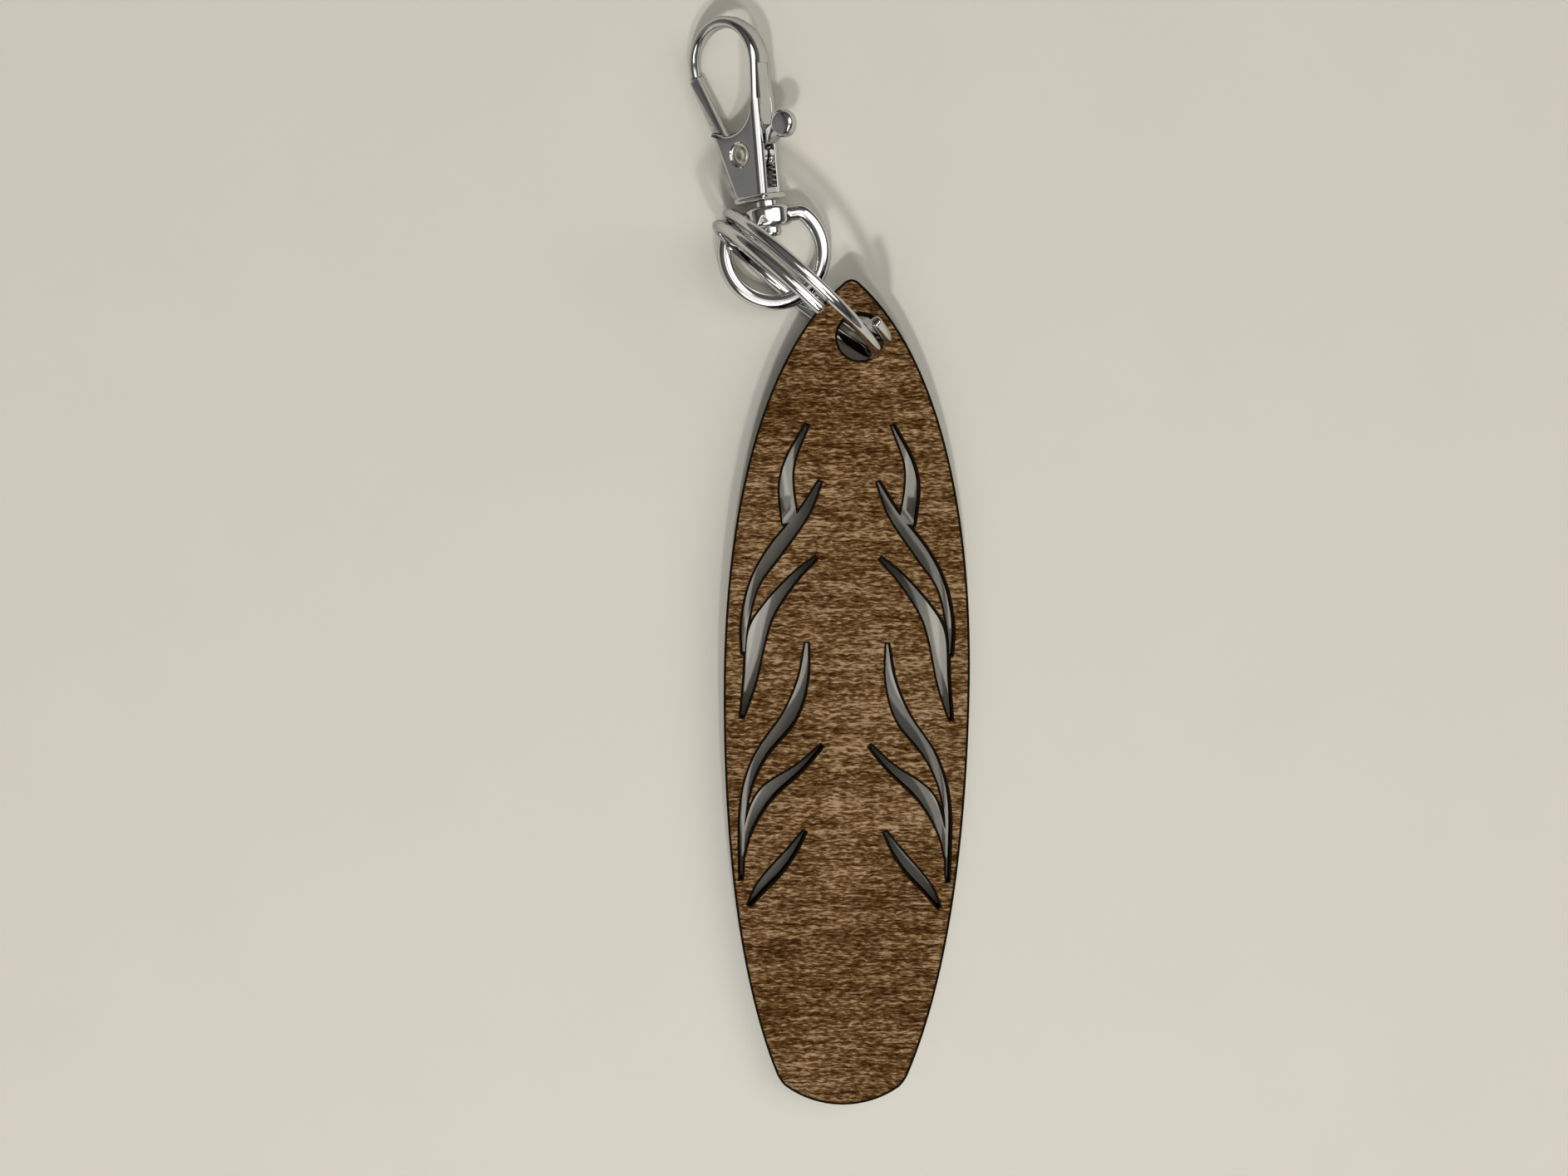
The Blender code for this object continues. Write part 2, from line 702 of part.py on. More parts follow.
def lever_outline():
    """Gate, hub, spring notch, stem and thumb knob as one flat outline about the pin."""
    pin = Vector((PIN_X, PIN_Y))
    tip_heading = Vector((-math.sin(HOOK_TIP_ANGLE), math.cos(HOOK_TIP_ANGLE)))
    tip = hook_point(HOOK_TIP_ANGLE) + tip_heading * SEAT_GAP - pin
    shoulder = Vector((SHOULDER_X, SHOULDER_Y)) - pin
    along = (tip - shoulder - Vector((GATE_WIDTH / 2 - GATE_PROUD, 0))).normalized()
    across = Vector((-along.y, along.x)) * GATE_WIDTH / 2
    heel = tip - along * (tip.y - GATE_HEEL_Y + PIN_Y) / along.y
    knob = Vector((KNOB_X, KNOB_Y)) - pin
    stem = knob.normalized()
    stem_side = Vector((-stem.y, stem.x)) * STEM_WIDTH / 2
    hub_radius = HUB_DIAMETER / 2
    seat = SPRING_SEAT_Y - PIN_Y
    notch_x = SPRING_X - PIN_X - SPRING_DIAMETER / 2 - SEAT_GAP
    notch_angle = math.degrees(math.asin(seat / hub_radius))
    floor_angle = math.degrees(math.acos(notch_x / hub_radius))
    stem_turn = math.degrees(math.atan2(stem.y, stem.x))
    knob_half = math.degrees(math.asin(STEM_WIDTH / KNOB_DIAMETER))
    stem_half = math.degrees(math.asin(STEM_WIDTH / HUB_DIAMETER))
    outline = [tip + across, heel + across]
    outline += arc_points(Vector((0, 0)), hub_radius, HUB_END, 360 - floor_angle, HUB_STEPS)
    outline += [Vector((notch_x, seat))]
    outline += arc_points(Vector((0, 0)), hub_radius, notch_angle, stem_turn - stem_half, STEM_STEPS)
    round_end = 180 - knob_half
    outline += arc_points(knob, KNOB_DIAMETER / 2, stem_turn - round_end, stem_turn + round_end, KNOB_STEPS)
    outline += arc_points(Vector((0, 0)), hub_radius, stem_turn + stem_half, HUB_START, STEM_STEPS)
    outline += [heel - across * GATE_FOOT_SPREAD + along * GATE_FOOT_RISE, tip - across]
    return outline


def build_gate_lever(parent):
    """The lever in the body's channel, its origin on the pin."""
    thickness = CHANNEL_WIDTH - 2 * LEVER_GAP
    silver = finish("lever_plating", (0.76, 0.76, 0.75), 0.15, 1)
    lever = part("gate_lever", plate("gate_lever", lever_outline(), thickness), parent, silver)
    weld = lever.modifiers.new("weld", "WELD")
    weld.merge_threshold = 1e-6
    rounded_edges(lever, LEVER_EDGE)
    hole = cutter("lever_hole_cutter", cylinder(PIN_DIAMETER + 2 * RUNNING_GAP, 3 * thickness), parent)
    boolean(lever, hole, "DIFFERENCE")
    return lever


def build_lever_spring(parent):
    """The coil spring between the channel's floor and the lever's notch."""
    radius = (SPRING_DIAMETER - SPRING_WIRE) / 2
    low = CHANNEL_FLOOR + SPRING_WIRE / 2 + RUNNING_GAP
    high = SPRING_SEAT_Y - SPRING_WIRE / 2 - RUNNING_GAP
    count = round((high - low) / SPRING_PITCH * SPRING_POINTS_PER_TURN)
    points = []
    for index in range(count + 1):
        angle = 2 * math.pi * index / SPRING_POINTS_PER_TURN
        height = low + (high - low) * index / count
        points.append(Vector((SPRING_X + radius * math.cos(angle), height, radius * math.sin(angle))))
    gap = least_gap(points, SPRING_WIRE, SPRING_POINTS_PER_TURN // 2)
    print(f"lever_spring: least gap to itself {gap * 1000:.2f} mm")
    steel = finish("spring_steel", (0.5, 0.5, 0.5), 0.3, 1)
    return part("lever_spring", wire("lever_spring", points, SPRING_WIRE, 1), parent, steel, math.radians(65))


def tag_rotation():
    return (Matrix.Rotation(TAG_TURN, 3, "Z") @ Matrix.Rotation(TAG_TILT, 3, "X")).to_euler()


def tag_centre_height():
    """Height of the tag's middle, with the lower edge of its tail on the table."""
    return TAG_LENGTH / 2 * math.sin(TAG_TILT) + TAG_THICKNESS / 2 * math.cos(TAG_TILT)


def split_ring_axes():
    """The split ring's right-hand direction, its upward direction and its axis."""
    right = Vector((math.cos(SPLIT_HEADING), math.sin(SPLIT_HEADING), 0))
    level_axis = Vector((-math.sin(SPLIT_HEADING), math.cos(SPLIT_HEADING), 0))
    up = Vector((0, 0, 1)) * math.cos(SPLIT_LEAN) - level_axis * math.sin(SPLIT_LEAN)
    return right, up, right.cross(up)


def place_split_ring(hole):
    """The split ring's middle, turn and angle at the hole, its lowest wire on the table."""
    right, up, axis = split_ring_axes()
    radius = (SPLIT_RING_DIAMETER - SPLIT_WIRE) / 2
    turn = Matrix((right, up, axis)).transposed()
    hole_angle = 0
    for _ in range(SETTLE_STEPS):
        lowest = min((turn @ point).z for point in split_ring_points(hole_angle))
        rise = SPLIT_WIRE / 2 - lowest - hole.z
        hole_angle = -math.asin(rise / (radius * up.z))
    centre = hole - radius * (math.cos(hole_angle) * right + math.sin(hole_angle) * up)
    return centre, turn, hole_angle


def place_swivel_ring(centre):
    """The swivel ring's middle and turn, linked on the split ring's lower left."""
    right, up, _ = split_ring_axes()
    radius = (SPLIT_RING_DIAMETER - SPLIT_WIRE) / 2
    link = centre + radius * (math.cos(LINK_ANGLE) * right + math.sin(LINK_ANGLE) * up)
    height = SPLIT_WIRE + SWIVEL_WIRE / 2 + SEAT_GAP + LINK_RISE
    place = Vector((link.x + LINK_SHIFT_X, link.y + LINK_SHIFT_Y, height))
    turn = Matrix.Rotation(CLASP_TURN, 3, "Z") @ Matrix.Rotation(CLASP_PITCH, 3, "X")
    return place, turn


def show(name, matrix, axis):
    """Prints a joint's place and axis in the world frame."""
    place = matrix.translation
    way = (matrix.to_3x3() @ Vector(axis)).normalized()
    print(f"{name}: at {tuple(round(v, 5) for v in place)} axis {tuple(round(v, 5) for v in way)}")


def child_frame(name, parent, place, turn):
    """An empty at a world place and turn, carried by its parent."""
    world = Matrix.LocRotScale(place, turn.to_quaternion(), None)
    local = parent.matrix_world.inverted() @ world
    return frame(name, parent, local.to_translation(), local.to_euler())


def settle(base):
    """Moves the keychain: the middle of its box to the origin, its lowest point to z = 0."""
    bpy.context.view_layer.update()
    graph = bpy.context.evaluated_depsgraph_get()
    corners = []
    for piece in PARTS.objects:
        if piece.type == "MESH":
            solid = piece.evaluated_get(graph)
            corners += [solid.matrix_world @ vertex.co for vertex in solid.data.vertices]
    low = Vector(min(corner[axis] for corner in corners) for axis in range(3))
    high = Vector(max(corner[axis] for corner in corners) for axis in range(3))
    base.location = (-(low.x + high.x) / 2, -(low.y + high.y) / 2, -low.z)
    bpy.context.view_layer.update()
    sides = tuple(round((b - a) * 1000, 2) for a, b in zip(low, high))
    print(f"size: {sides} mm, moved by {tuple(base.location)}")


def build_keychain():
    base = frame("keychain", None)
    tag_frame = frame("tag_frame", base, (0, 0, tag_centre_height()), tag_rotation())
    build_tag(tag_frame)
    hole_frame = frame("ring_in_hole_axis", tag_frame, (HOLE_U, HOLE_V, 0))
    passage = hole_frame.matrix_world @ Vector((SPLIT_SHIFT_U, SPLIT_SHIFT_V, 0))
    centre, turn, hole_angle = place_split_ring(passage)
    split_frame = child_frame("split_ring_axis", hole_frame, centre, turn)
    build_split_ring(split_frame, hole_angle)
    place, turn = place_swivel_ring(centre)
    swivel_frame = child_frame("swivel_ring_frame", split_frame, place, turn)
    build_swivel_ring(swivel_frame)
    foot = (0, SWIVEL_BAR_HEIGHT + BOSS_HEIGHT / 2 + NECK_LENGTH, 0)
    stud_frame = frame("swivel_axis", swivel_frame, foot, Euler((0, CLASP_ROLL, 0)))
    build_swivel_stud(stud_frame)
    clasp_frame = frame("clasp_frame", stud_frame, rotation=Euler((0, 0, CLASP_LEAN)))
    build_clasp_body(clasp_frame, stud_frame)
    gate_frame = frame("gate_axis", clasp_frame, (PIN_X, PIN_Y, 0))
    build_gate_lever(gate_frame)
    build_pivot_pin(gate_frame)
    build_lever_spring(clasp_frame)
    settle(base)
    show("ring_in_hole", hole_frame.matrix_world, (0, 0, 1))
    show("ring_slide", split_frame.matrix_world, (0, 0, 1))
    show("swivel", stud_frame.matrix_world, (0, 1, 0))
    show("gate", gate_frame.matrix_world, (0, 0, -1))


clear_scene()
PARTS = collection("keychain")
CUTTERS = collection("keychain_cutters")
build_keychain()
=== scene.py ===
import json
import math

import bmesh
import bpy
from mathutils import Matrix, Vector
from mathutils.geometry import delaunay_2d_cdt
from mathutils.kdtree import KDTree


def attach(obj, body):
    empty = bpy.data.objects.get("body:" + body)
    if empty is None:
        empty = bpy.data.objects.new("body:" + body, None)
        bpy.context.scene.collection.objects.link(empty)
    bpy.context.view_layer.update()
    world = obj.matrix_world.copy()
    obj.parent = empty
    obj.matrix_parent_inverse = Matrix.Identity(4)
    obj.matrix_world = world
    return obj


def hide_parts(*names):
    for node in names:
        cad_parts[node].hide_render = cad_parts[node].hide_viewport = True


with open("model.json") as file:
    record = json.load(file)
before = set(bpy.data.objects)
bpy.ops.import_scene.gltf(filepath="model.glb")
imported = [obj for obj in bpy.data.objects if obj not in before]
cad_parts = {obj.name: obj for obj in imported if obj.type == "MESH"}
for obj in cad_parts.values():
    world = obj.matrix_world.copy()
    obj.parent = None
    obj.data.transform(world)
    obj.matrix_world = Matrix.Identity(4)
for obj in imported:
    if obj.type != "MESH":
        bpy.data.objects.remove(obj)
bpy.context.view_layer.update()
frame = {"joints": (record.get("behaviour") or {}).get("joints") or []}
joints = {joint["name"]: joint for joint in frame["joints"]}


# Surfboard tag: 3 mm board, stained brown, with the grain across its length.
# A laser cuts the outline, the ring hole and six flame slots a side, and
# leaves every cut edge charred black for about a third of a millimetre.
BOARD_LENGTH = 0.1029
BOARD_WIDTH = 0.03048
BOARD_THICKNESS = 0.003
WIDEST_V = 0.0018
NOSE_ANGLE = math.radians(52)
NOSE_HANDLE = 0.0132
SIDE_HANDLE = 0.02215
HIP_HANDLE = 0.0147
TAIL_WIDTH = 0.0155
TAIL_CROWN = 0.0028
TAIL_FLARE = math.radians(23.5)
TAIL_HANDLE = 0.0156
CORNER_CUT = 0.00035
CORNER_FULLNESS = 0.6
CORNER_STEPS = 6
RING_HOLE = 0.0057
RING_HOLE_U = 0.00115
RING_HOLE_V = 0.044
BOARD_TURN = math.radians(-0.62)
CURVE_STEPS = 36
SLOT_STEPS = 8
SLOT_TIP = 0.0003
FLAME_SLOTS = (
    (
        (0.0053, 0.0332, SLOT_TIP),
        (0.0073, 0.0288, 0.0010),
        (0.00775, 0.0254, 0.0016),
        (0.0072, 0.0211, 0.0019),
    ),
    (
        (0.0036, 0.0262, SLOT_TIP),
        (0.00565, 0.0222, 0.0012),
        (0.0092, 0.0174, 0.0016),
        (0.0116, 0.0134, 0.0010),
        (0.0127, 0.0087, 0.00075),
        (0.01285, 0.0049, SLOT_TIP),
    ),
    (
        (0.0040, 0.0168, SLOT_TIP),
        (0.00675, 0.0142, 0.0009),
        (0.0097, 0.0104, 0.0016),
        (0.0112, 0.0071, 0.0022),
        (0.0120, 0.0015, 0.0014),
        (0.01295, -0.0031, SLOT_TIP),
    ),
    (
        (0.0050, 0.0062, SLOT_TIP),
        (0.00545, 0.0016, 0.0011),
        (0.0071, -0.0030, 0.00165),
        (0.0108, -0.0082, 0.00115),
        (0.0126, -0.0140, 0.0007),
        (0.01285, -0.0233, SLOT_TIP),
    ),
    (
        (0.0030, -0.0065, SLOT_TIP),
        (0.00575, -0.0093, 0.0009),
        (0.0099, -0.0127, 0.00175),
        (0.0120, -0.0168, 0.0010),
        (0.0127, -0.0203, SLOT_TIP),
    ),
    (
        (0.0050, -0.0172, SLOT_TIP),
        (0.0066, -0.0197, 0.0010),
        (0.0085, -0.0221, 0.0014),
        (0.0104, -0.0243, 0.0011),
        (0.0118, -0.0265, SLOT_TIP),
    ),
)
FINE_DISTANCE = 1e-7
MERGE_DISTANCE = 1e-6
SMOOTH_ANGLE = math.radians(32)
CHAR_SOLID = 0.00018
CHAR_FADE = 0.00036
RIM_SAMPLES = 9
WOOD_DARK = (0.027, 0.0085, 0.0008, 1)
WOOD_MID = (0.106, 0.052, 0.0155, 1)
WOOD_LIGHT = (0.350, 0.235, 0.132, 1)
CHAR_BLACK = (0.007, 0.004, 0.0022, 1)
WOOD_SHINE = 0.02
WOOD_ROUGHNESS = 0.62
WARP_SCALE = (800, 800, 800)
WARP_REACH = (0.0004, 0.0004, 0)
FLECK_SCALE = (1250, 5000, 900)
GLINT_SCALE = (1300, 3600, 900)
STREAK_SCALE = (210, 3000, 300)
PATCH_SCALE = (45, 240, 100)
RAGGED_SCALE = (2500, 2500, 2500)
PALE_MIDDLE = 0.012
GRAIN_DEPTH = 0.00006


class Shade:
    """A shader socket that takes part in Python sums."""

    def __init__(self, tree, socket):
        self.tree = tree
        self.socket = socket

    def node(self, kind, settings, values, output=0):
        """Adds a node, sets it up, fills its sockets and gives back one of its outputs."""
        made = self.tree.nodes.new("ShaderNode" + kind)
        for key, setting in settings.items():
            if key == "stops":
                ramp = made.color_ramp.elements
                while len(ramp) < len(setting):
                    ramp.new(0.5)
                for stop, (place, colour) in zip(ramp, setting):
                    stop.position = place
                    stop.color = colour
            else:
                setattr(made, key, setting)
        for key, value in values.items():
            if isinstance(value, Shade):
                self.tree.links.new(value.socket, made.inputs[key])
            else:
                made.inputs[key].default_value = value
        return Shade(self.tree, made.outputs[output])

    def feed(self, name):
        """Links this socket to the material's surface."""
        self.tree.links.new(self.socket, self.tree.nodes["Principled BSDF"].inputs[name])

    def maths(self, operation, first, second):
        return self.node("Math", {"operation": operation}, {0: first, 1: second})

    def clamp(self):
        return self.node("Clamp", {}, {"Value": self})

    def mix(self, first, second):
        """A colour between two, by this socket's value."""
        return self.node("Mix", {"data_type": "RGBA"}, {0: self, 6: first, 7: second}, 2)

    def stretch(self, scale):
        """These coordinates, with each axis made finer or coarser."""
        return self.node("VectorMath", {"operation": "MULTIPLY"}, {0: self, 1: scale})

    def noise(self, detail, distortion=0.0):
        values = {"Vector": self, "Scale": 1, "Detail": detail, "Distortion": distortion}
        return self.node("TexNoise", {}, values)

    def __add__(self, other):
        return self.maths("ADD", self, other)

    def __radd__(self, other):
        return self.maths("ADD", other, self)

    def __sub__(self, other):
        return self.maths("SUBTRACT", self, other)

    def __rsub__(self, other):
        return self.maths("SUBTRACT", other, self)

    def __mul__(self, other):
        return self.maths("MULTIPLY", self, other)

    def __rmul__(self, other):
        return self.maths("MULTIPLY", other, self)


def new_finish(name, constants):
    """A material with its plain numbers set, and its Object coordinates."""
    made = bpy.data.materials.new(name)
    made.use_nodes = True
    surface = made.node_tree.nodes["Principled BSDF"]
    for key, value in constants.items():
        surface.inputs[key].default_value = value
    return made, Shade(made.node_tree, None).node("TexCoord", {}, {}, "Object")


def standing(origin, x, y, z):
    """The place of a piece whose own axes point these ways."""
    return Matrix.Translation(origin) @ Matrix((x, y, z)).transposed().to_4x4()


def add_object(name, data):
    """Puts a mesh, a lamp or a camera into the scene."""
    made = bpy.data.objects.new(name, data)
    bpy.context.scene.collection.objects.link(made)
    return made


def fit(name, mesh, finish, body, node):
    """Hangs a finished mesh on its body in the place of its CAD node."""
    mesh.name = name
    mesh.materials.append(finish)
    mesh.shade_smooth()
    mesh.set_sharp_from_angle(angle=SMOOTH_ANGLE)
    piece = add_object(name, mesh)
    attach(piece, body)
    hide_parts(node)


def to_mesh(work, place):
    """Closes a bmesh: doubled points merged, faces outwards, set in its place."""
    bmesh.ops.remove_doubles(work, verts=work.verts, dist=MERGE_DISTANCE)
    bmesh.ops.dissolve_degenerate(work, edges=work.edges, dist=MERGE_DISTANCE)
    bmesh.ops.recalc_face_normals(work, faces=work.faces)
    bmesh.ops.transform(work, matrix=place, verts=work.verts)
    made = bpy.data.meshes.new("made")
    work.to_mesh(made)
    work.free()
    return made


def thicken(work, faces, lift):
    """Makes flat faces solid: a moved copy of them, with walls in between."""
    lifted = bmesh.ops.extrude_face_region(work, geom=faces, use_keep_orig=True)["geom"]
    raised = [item for item in lifted if isinstance(item, bmesh.types.BMVert)]
    bmesh.ops.translate(work, verts=raised, vec=lift)


def bezier(start, leave, arrive, end, steps):
    """Points of one Bezier arc, its last point left out."""
    made = []
    for index in range(steps):
        t = index / steps
        s = 1 - t
        made.append(start * s**3 + leave * 3 * s * s * t + arrive * 3 * s * t * t + end * t**3)
    return made


def arc(centre, radius, start, end, steps):
    """Points of an arc, angles in radians, both ends kept."""
    turns = [start + (end - start) * index / steps for index in range(steps + 1)]
    return [centre + radius * Vector((math.cos(turn), math.sin(turn))) for turn in turns]


def slot_outline(spine, side, wider):
    """A flame slot drawn as a brush stroke, made wider all round by a margin."""
    rows = [Vector(row) for row in spine]
    ends = [2 * rows[0] - rows[1], *rows, 2 * rows[-1] - rows[-2]]
    line = []
    for before, start, end, after in zip(ends, ends[1:], ends[2:], ends[3:]):
        leave = start + (end - before) / 6
        arrive = end - (after - start) / 6
        line += bezier(start, leave, arrive, end, SLOT_STEPS)
    line.append(rows[-1])
    left, right = [], []
    for index, row in enumerate(line):
        ahead = (line[min(index + 1, len(line) - 1)] - line[max(index - 1, 0)]).xy.normalized()
        middle = row.xy
        if index == 0:
            middle = middle - ahead * wider
        if index == len(line) - 1:
            middle = middle + ahead * wider
        across = Vector((-ahead.y, ahead.x)) * (row.z / 2 + wider)
        left.append(middle + across)
        right.append(middle - across)
    return [Vector((side * point.x, point.y)) for point in left + right[::-1]]


def round_off(start, corner, end):
    """A small curve in place of a sharp corner."""
    leave = start.lerp(corner, CORNER_FULLNESS)
    arrive = end.lerp(corner, CORNER_FULLNESS)
    return bezier(start, leave, arrive, end, CORNER_STEPS)


def clear_of(corners, line):
    """The points of a line that a rounded corner doesn't replace."""
    return [
        point for point in line if min((point - corner).length for corner in corners) > CORNER_CUT
    ]


def board_outline(narrower):
    """The board seen from above, drawn in by a margin all round."""
    flip = Matrix.Scale(-1, 2, Vector((1, 0)))
    nose = Vector((0, BOARD_LENGTH / 2))
    widest = Vector((BOARD_WIDTH / 2, WIDEST_V))
    tail = Vector((TAIL_WIDTH / 2, TAIL_CROWN - BOARD_LENGTH / 2))
    leave = nose + NOSE_HANDLE * Vector((math.sin(NOSE_ANGLE), -math.cos(NOSE_ANGLE)))
    arrive = tail + TAIL_HANDLE * Vector((math.sin(TAIL_FLARE), math.cos(TAIL_FLARE)))
    right = bezier(nose, leave, widest + Vector((0, SIDE_HANDLE)), widest, CURVE_STEPS)
    right += bezier(widest, widest - Vector((0, HIP_HANDLE)), arrive, tail, CURVE_STEPS)
    radius = (TAIL_WIDTH**2 / 4 + TAIL_CROWN**2) / (2 * TAIL_CROWN)
    half = math.asin(TAIL_WIDTH / 2 / radius)
    centre = Vector((0, radius - BOARD_LENGTH / 2))
    round_tail = arc(centre, radius, half - math.pi / 2, -half - math.pi / 2, CURVE_STEPS // 2)
    right = clear_of((nose, tail), right)
    left = [flip @ point for point in reversed(right)]
    round_tail = clear_of((tail, flip @ tail), round_tail)
    points = right[:-1] + round_off(right[-1], tail, round_tail[0]) + round_tail[:-1]
    points += round_off(round_tail[-1], flip @ tail, left[0]) + left[1:-1]
    points += round_off(left[-1], nose, right[0])
    inner = []
    for index, point in enumerate(points):
        ahead = (points[(index + 1) % len(points)] - points[index - 1]).normalized()
        inner.append(point + Vector((ahead.y, -ahead.x)) * narrower)
    return inner


def ring_hole(wider):
    """The ring's hole, made wider by a margin."""
    centre = Vector((RING_HOLE_U, RING_HOLE_V))
    last = math.tau * (1 - 1 / CURVE_STEPS)
    return arc(centre, RING_HOLE / 2 + wider, 0, last, CURVE_STEPS - 1)


def cut_lines(margin):
    """Every line that the laser cuts, moved into the wood by a margin."""
    slots = [slot_outline(spine, side, margin) for spine in FLAME_SLOTS for side in (1, -1)]
    return [board_outline(margin), ring_hole(margin), *slots]


loops = cut_lines(0)
cut_count = len(loops)
for margin in (CHAR_SOLID, CHAR_FADE):
    loops += cut_lines(margin)
points, rows = [], []
for loop in loops:
    area = sum(a.x * b.y - b.x * a.y for a, b in zip(loop, loop[1:] + loop[:1]))
    rows.append(list(range(len(points), len(points) + len(loop))))
    points += loop if area > 0 else loop[::-1]
spots, _, faces, _, _, owners = delaunay_2d_cdt(points, [], rows, 1, FINE_DISTANCE)
work = bmesh.new()
corners = [work.verts.new((spot.x, spot.y, -BOARD_THICKNESS / 2)) for spot in spots]
for face, owner in zip(faces, owners):
    if 0 in owner and not any(0 < loop < cut_count for loop in owner):
        work.faces.new([corners[index] for index in face])
loose = [vert for vert in work.verts if not vert.link_faces]
bmesh.ops.delete(work, geom=loose, context="VERTS")
rim = [edge for edge in work.edges if edge.is_boundary]
tree = KDTree(len(rim) * RIM_SAMPLES)
for number, edge in enumerate(rim):
    for step in range(RIM_SAMPLES):
        place = edge.verts[0].co.lerp(edge.verts[1].co, step / (RIM_SAMPLES - 1))
        tree.insert(place, number * RIM_SAMPLES + step)
tree.balance()
char = work.verts.layers.float.new("char")
for vert in work.verts:
    away = tree.find(vert.co)[2]
    vert[char] = min(1, max(0, (CHAR_FADE - away) / (CHAR_FADE - CHAR_SOLID)))
thicken(work, work.faces[:], (0, 0, BOARD_THICKNESS))
hinge = joints["ring_in_hole"]
board_z = Vector(hinge["axis"]).normalized()
board_x = Vector((math.cos(BOARD_TURN), math.sin(BOARD_TURN), 0))
board_y = board_z.cross(board_x)
board_middle = Vector(hinge["pos_m"]) - board_x * RING_HOLE_U - board_y * RING_HOLE_V
board_place = standing(board_middle, board_x, board_y, board_z)

wood, spot = new_finish("stained_wood", {"Specular IOR Level": WOOD_SHINE})
turned = {"Location": board_place.translation, "Rotation": board_place.to_euler()}
grain_place = spot.node("Mapping", {"vector_type": "TEXTURE"}, {"Vector": spot, **turned})
warp = grain_place.stretch(WARP_SCALE).noise(1)
shift = warp.node("CombineXYZ", {}, {"X": warp, "Y": warp})
bend = {0: shift, 1: WARP_REACH, 2: grain_place}
bent = grain_place.node("VectorMath", {"operation": "MULTIPLY_ADD"}, bend)
fleck = bent.stretch(FLECK_SCALE).noise(2)
glint = bent.stretch(GLINT_SCALE).noise(1)
streak = bent.stretch(STREAK_SCALE).noise(3)
patch = grain_place.stretch(PATCH_SCALE).noise(2)
bright = ((glint - 0.62) * 5).clamp()
lengthwise = grain_place.node("SeparateXYZ", {}, {"Vector": grain_place}, "Y")
from_middle = lengthwise.node("Math", {"operation": "ABSOLUTE"}, {0: lengthwise})
ends = ((from_middle - PALE_MIDDLE) * 40).clamp()
tone = (fleck - 0.5) * 2.2 + (streak - 0.5) * 1.4 + (patch - 0.5) * 0.6
tone = tone + bright * 0.4 + 0.5 - ends * 0.075
stops = [(0.05, WOOD_DARK), (0.5, WOOD_MID), (1.0, WOOD_LIGHT)]
board_colour = tone.node("ValToRGB", {"stops": stops}, {"Fac": tone})
burn = spot.node("Attribute", {"attribute_name": "char"}, {}, "Fac")
ragged = grain_place.stretch(RAGGED_SCALE).noise(1)
charred = ((burn + (ragged - 0.5) * 0.6 - 0.25) * 3).clamp()
charred.mix(board_colour, CHAR_BLACK).feed("Base Color")
(WOOD_ROUGHNESS + (fleck - 0.5) * 0.25 + charred * 0.2).feed("Roughness")
relief = {"Strength": 0.6, "Distance": GRAIN_DEPTH, "Height": tone - charred * 0.6}
spot.node("Bump", {}, relief).feed("Normal")
fit("surfboard_tag", to_mesh(work, board_place), wood, "tag", "surf_tag")


# Split ring: hard steel wire, 1.4 mm thick, wound into just under two turns
# that spring together, then plated with bright nickel. Both cut ends are
# rounded off, and the two turns pass through the board's hole.
RING_RADIUS = 0.01208
RING_WIRE = 0.00138
RING_PITCH = 0.00183
RING_START = math.radians(67)
RING_END = math.radians(755)
RING_MIDDLE = math.radians(501)
RING_HEADING = math.radians(-40.6)
RING_STEPS = 220
WIRE_SIDES = 24
WIRE_END = 0.0003
RING_BRIGHT = (0.76, 0.76, 0.75, 1)
RING_DULL = (0.52, 0.51, 0.49, 1)
PLATING_RIM = (0.5, 0.5, 0.5, 1)
CLOUD_SCALE = (260, 260, 260)
HAZE_SCALE = (1900, 1900, 1900)
MARK_SCALE = (900, 7000, 2600)
HAZE_DEPTH = 0.000012


def nickel(name, bright, dull, roughness, rubbed):
    """Bright plating: fine haze, faint rubbing marks and duller spots."""
    made, spot = new_finish(name, {"Metallic": 1.0, "Specular Tint": PLATING_RIM})
    cloud = spot.stretch(CLOUD_SCALE).noise(3)
    haze = spot.stretch(HAZE_SCALE).noise(2)
    marks = spot.stretch(MARK_SCALE).noise(2, 0.6)
    worn = ((cloud - 0.46) * 2.4).clamp()
    (worn * 0.55).mix(bright, dull).feed("Base Color")
    scuffs = ((marks - 0.58) * 1.6).clamp() * rubbed
    (roughness + worn * 0.05 + (haze - 0.5) * 0.08 + scuffs).clamp().feed("Roughness")
    relief = {"Strength": 0.35, "Distance": HAZE_DEPTH, "Height": haze * 0.6 + marks * 0.4}
    spot.node("Bump", {}, relief).feed("Normal")
    return made


def coil(radius, wire, rise, turn, steps, sides, rounding, start=Matrix()):
    """Round wire wound about local Z, both ends closed and rounded."""
    work = bmesh.new()
    section = bmesh.ops.create_circle(work, segments=sides, radius=wire / 2)["verts"]
    stand = Matrix.Translation((radius, 0, 0)) @ Matrix.Rotation(math.pi / 2, 4, "X")
    bmesh.ops.transform(work, matrix=start @ stand, verts=section)
    bmesh.ops.spin(
        work,
        geom=work.verts[:] + work.edges[:],
        cent=(0, 0, 0),
        axis=(0, 0, 1),
        dvec=(0, 0, rise / steps),
        angle=turn,
        steps=steps,
    )
    ends = [edge for edge in work.edges if edge.is_boundary]
    bmesh.ops.holes_fill(work, edges=ends, sides=0)
    bmesh.ops.bevel(
        work,
        geom=ends,
        offset=rounding,
        affect="EDGES",
        segments=4,
        profile=0.5,
        material=-1,
        clamp_overlap=True,
    )
    return work


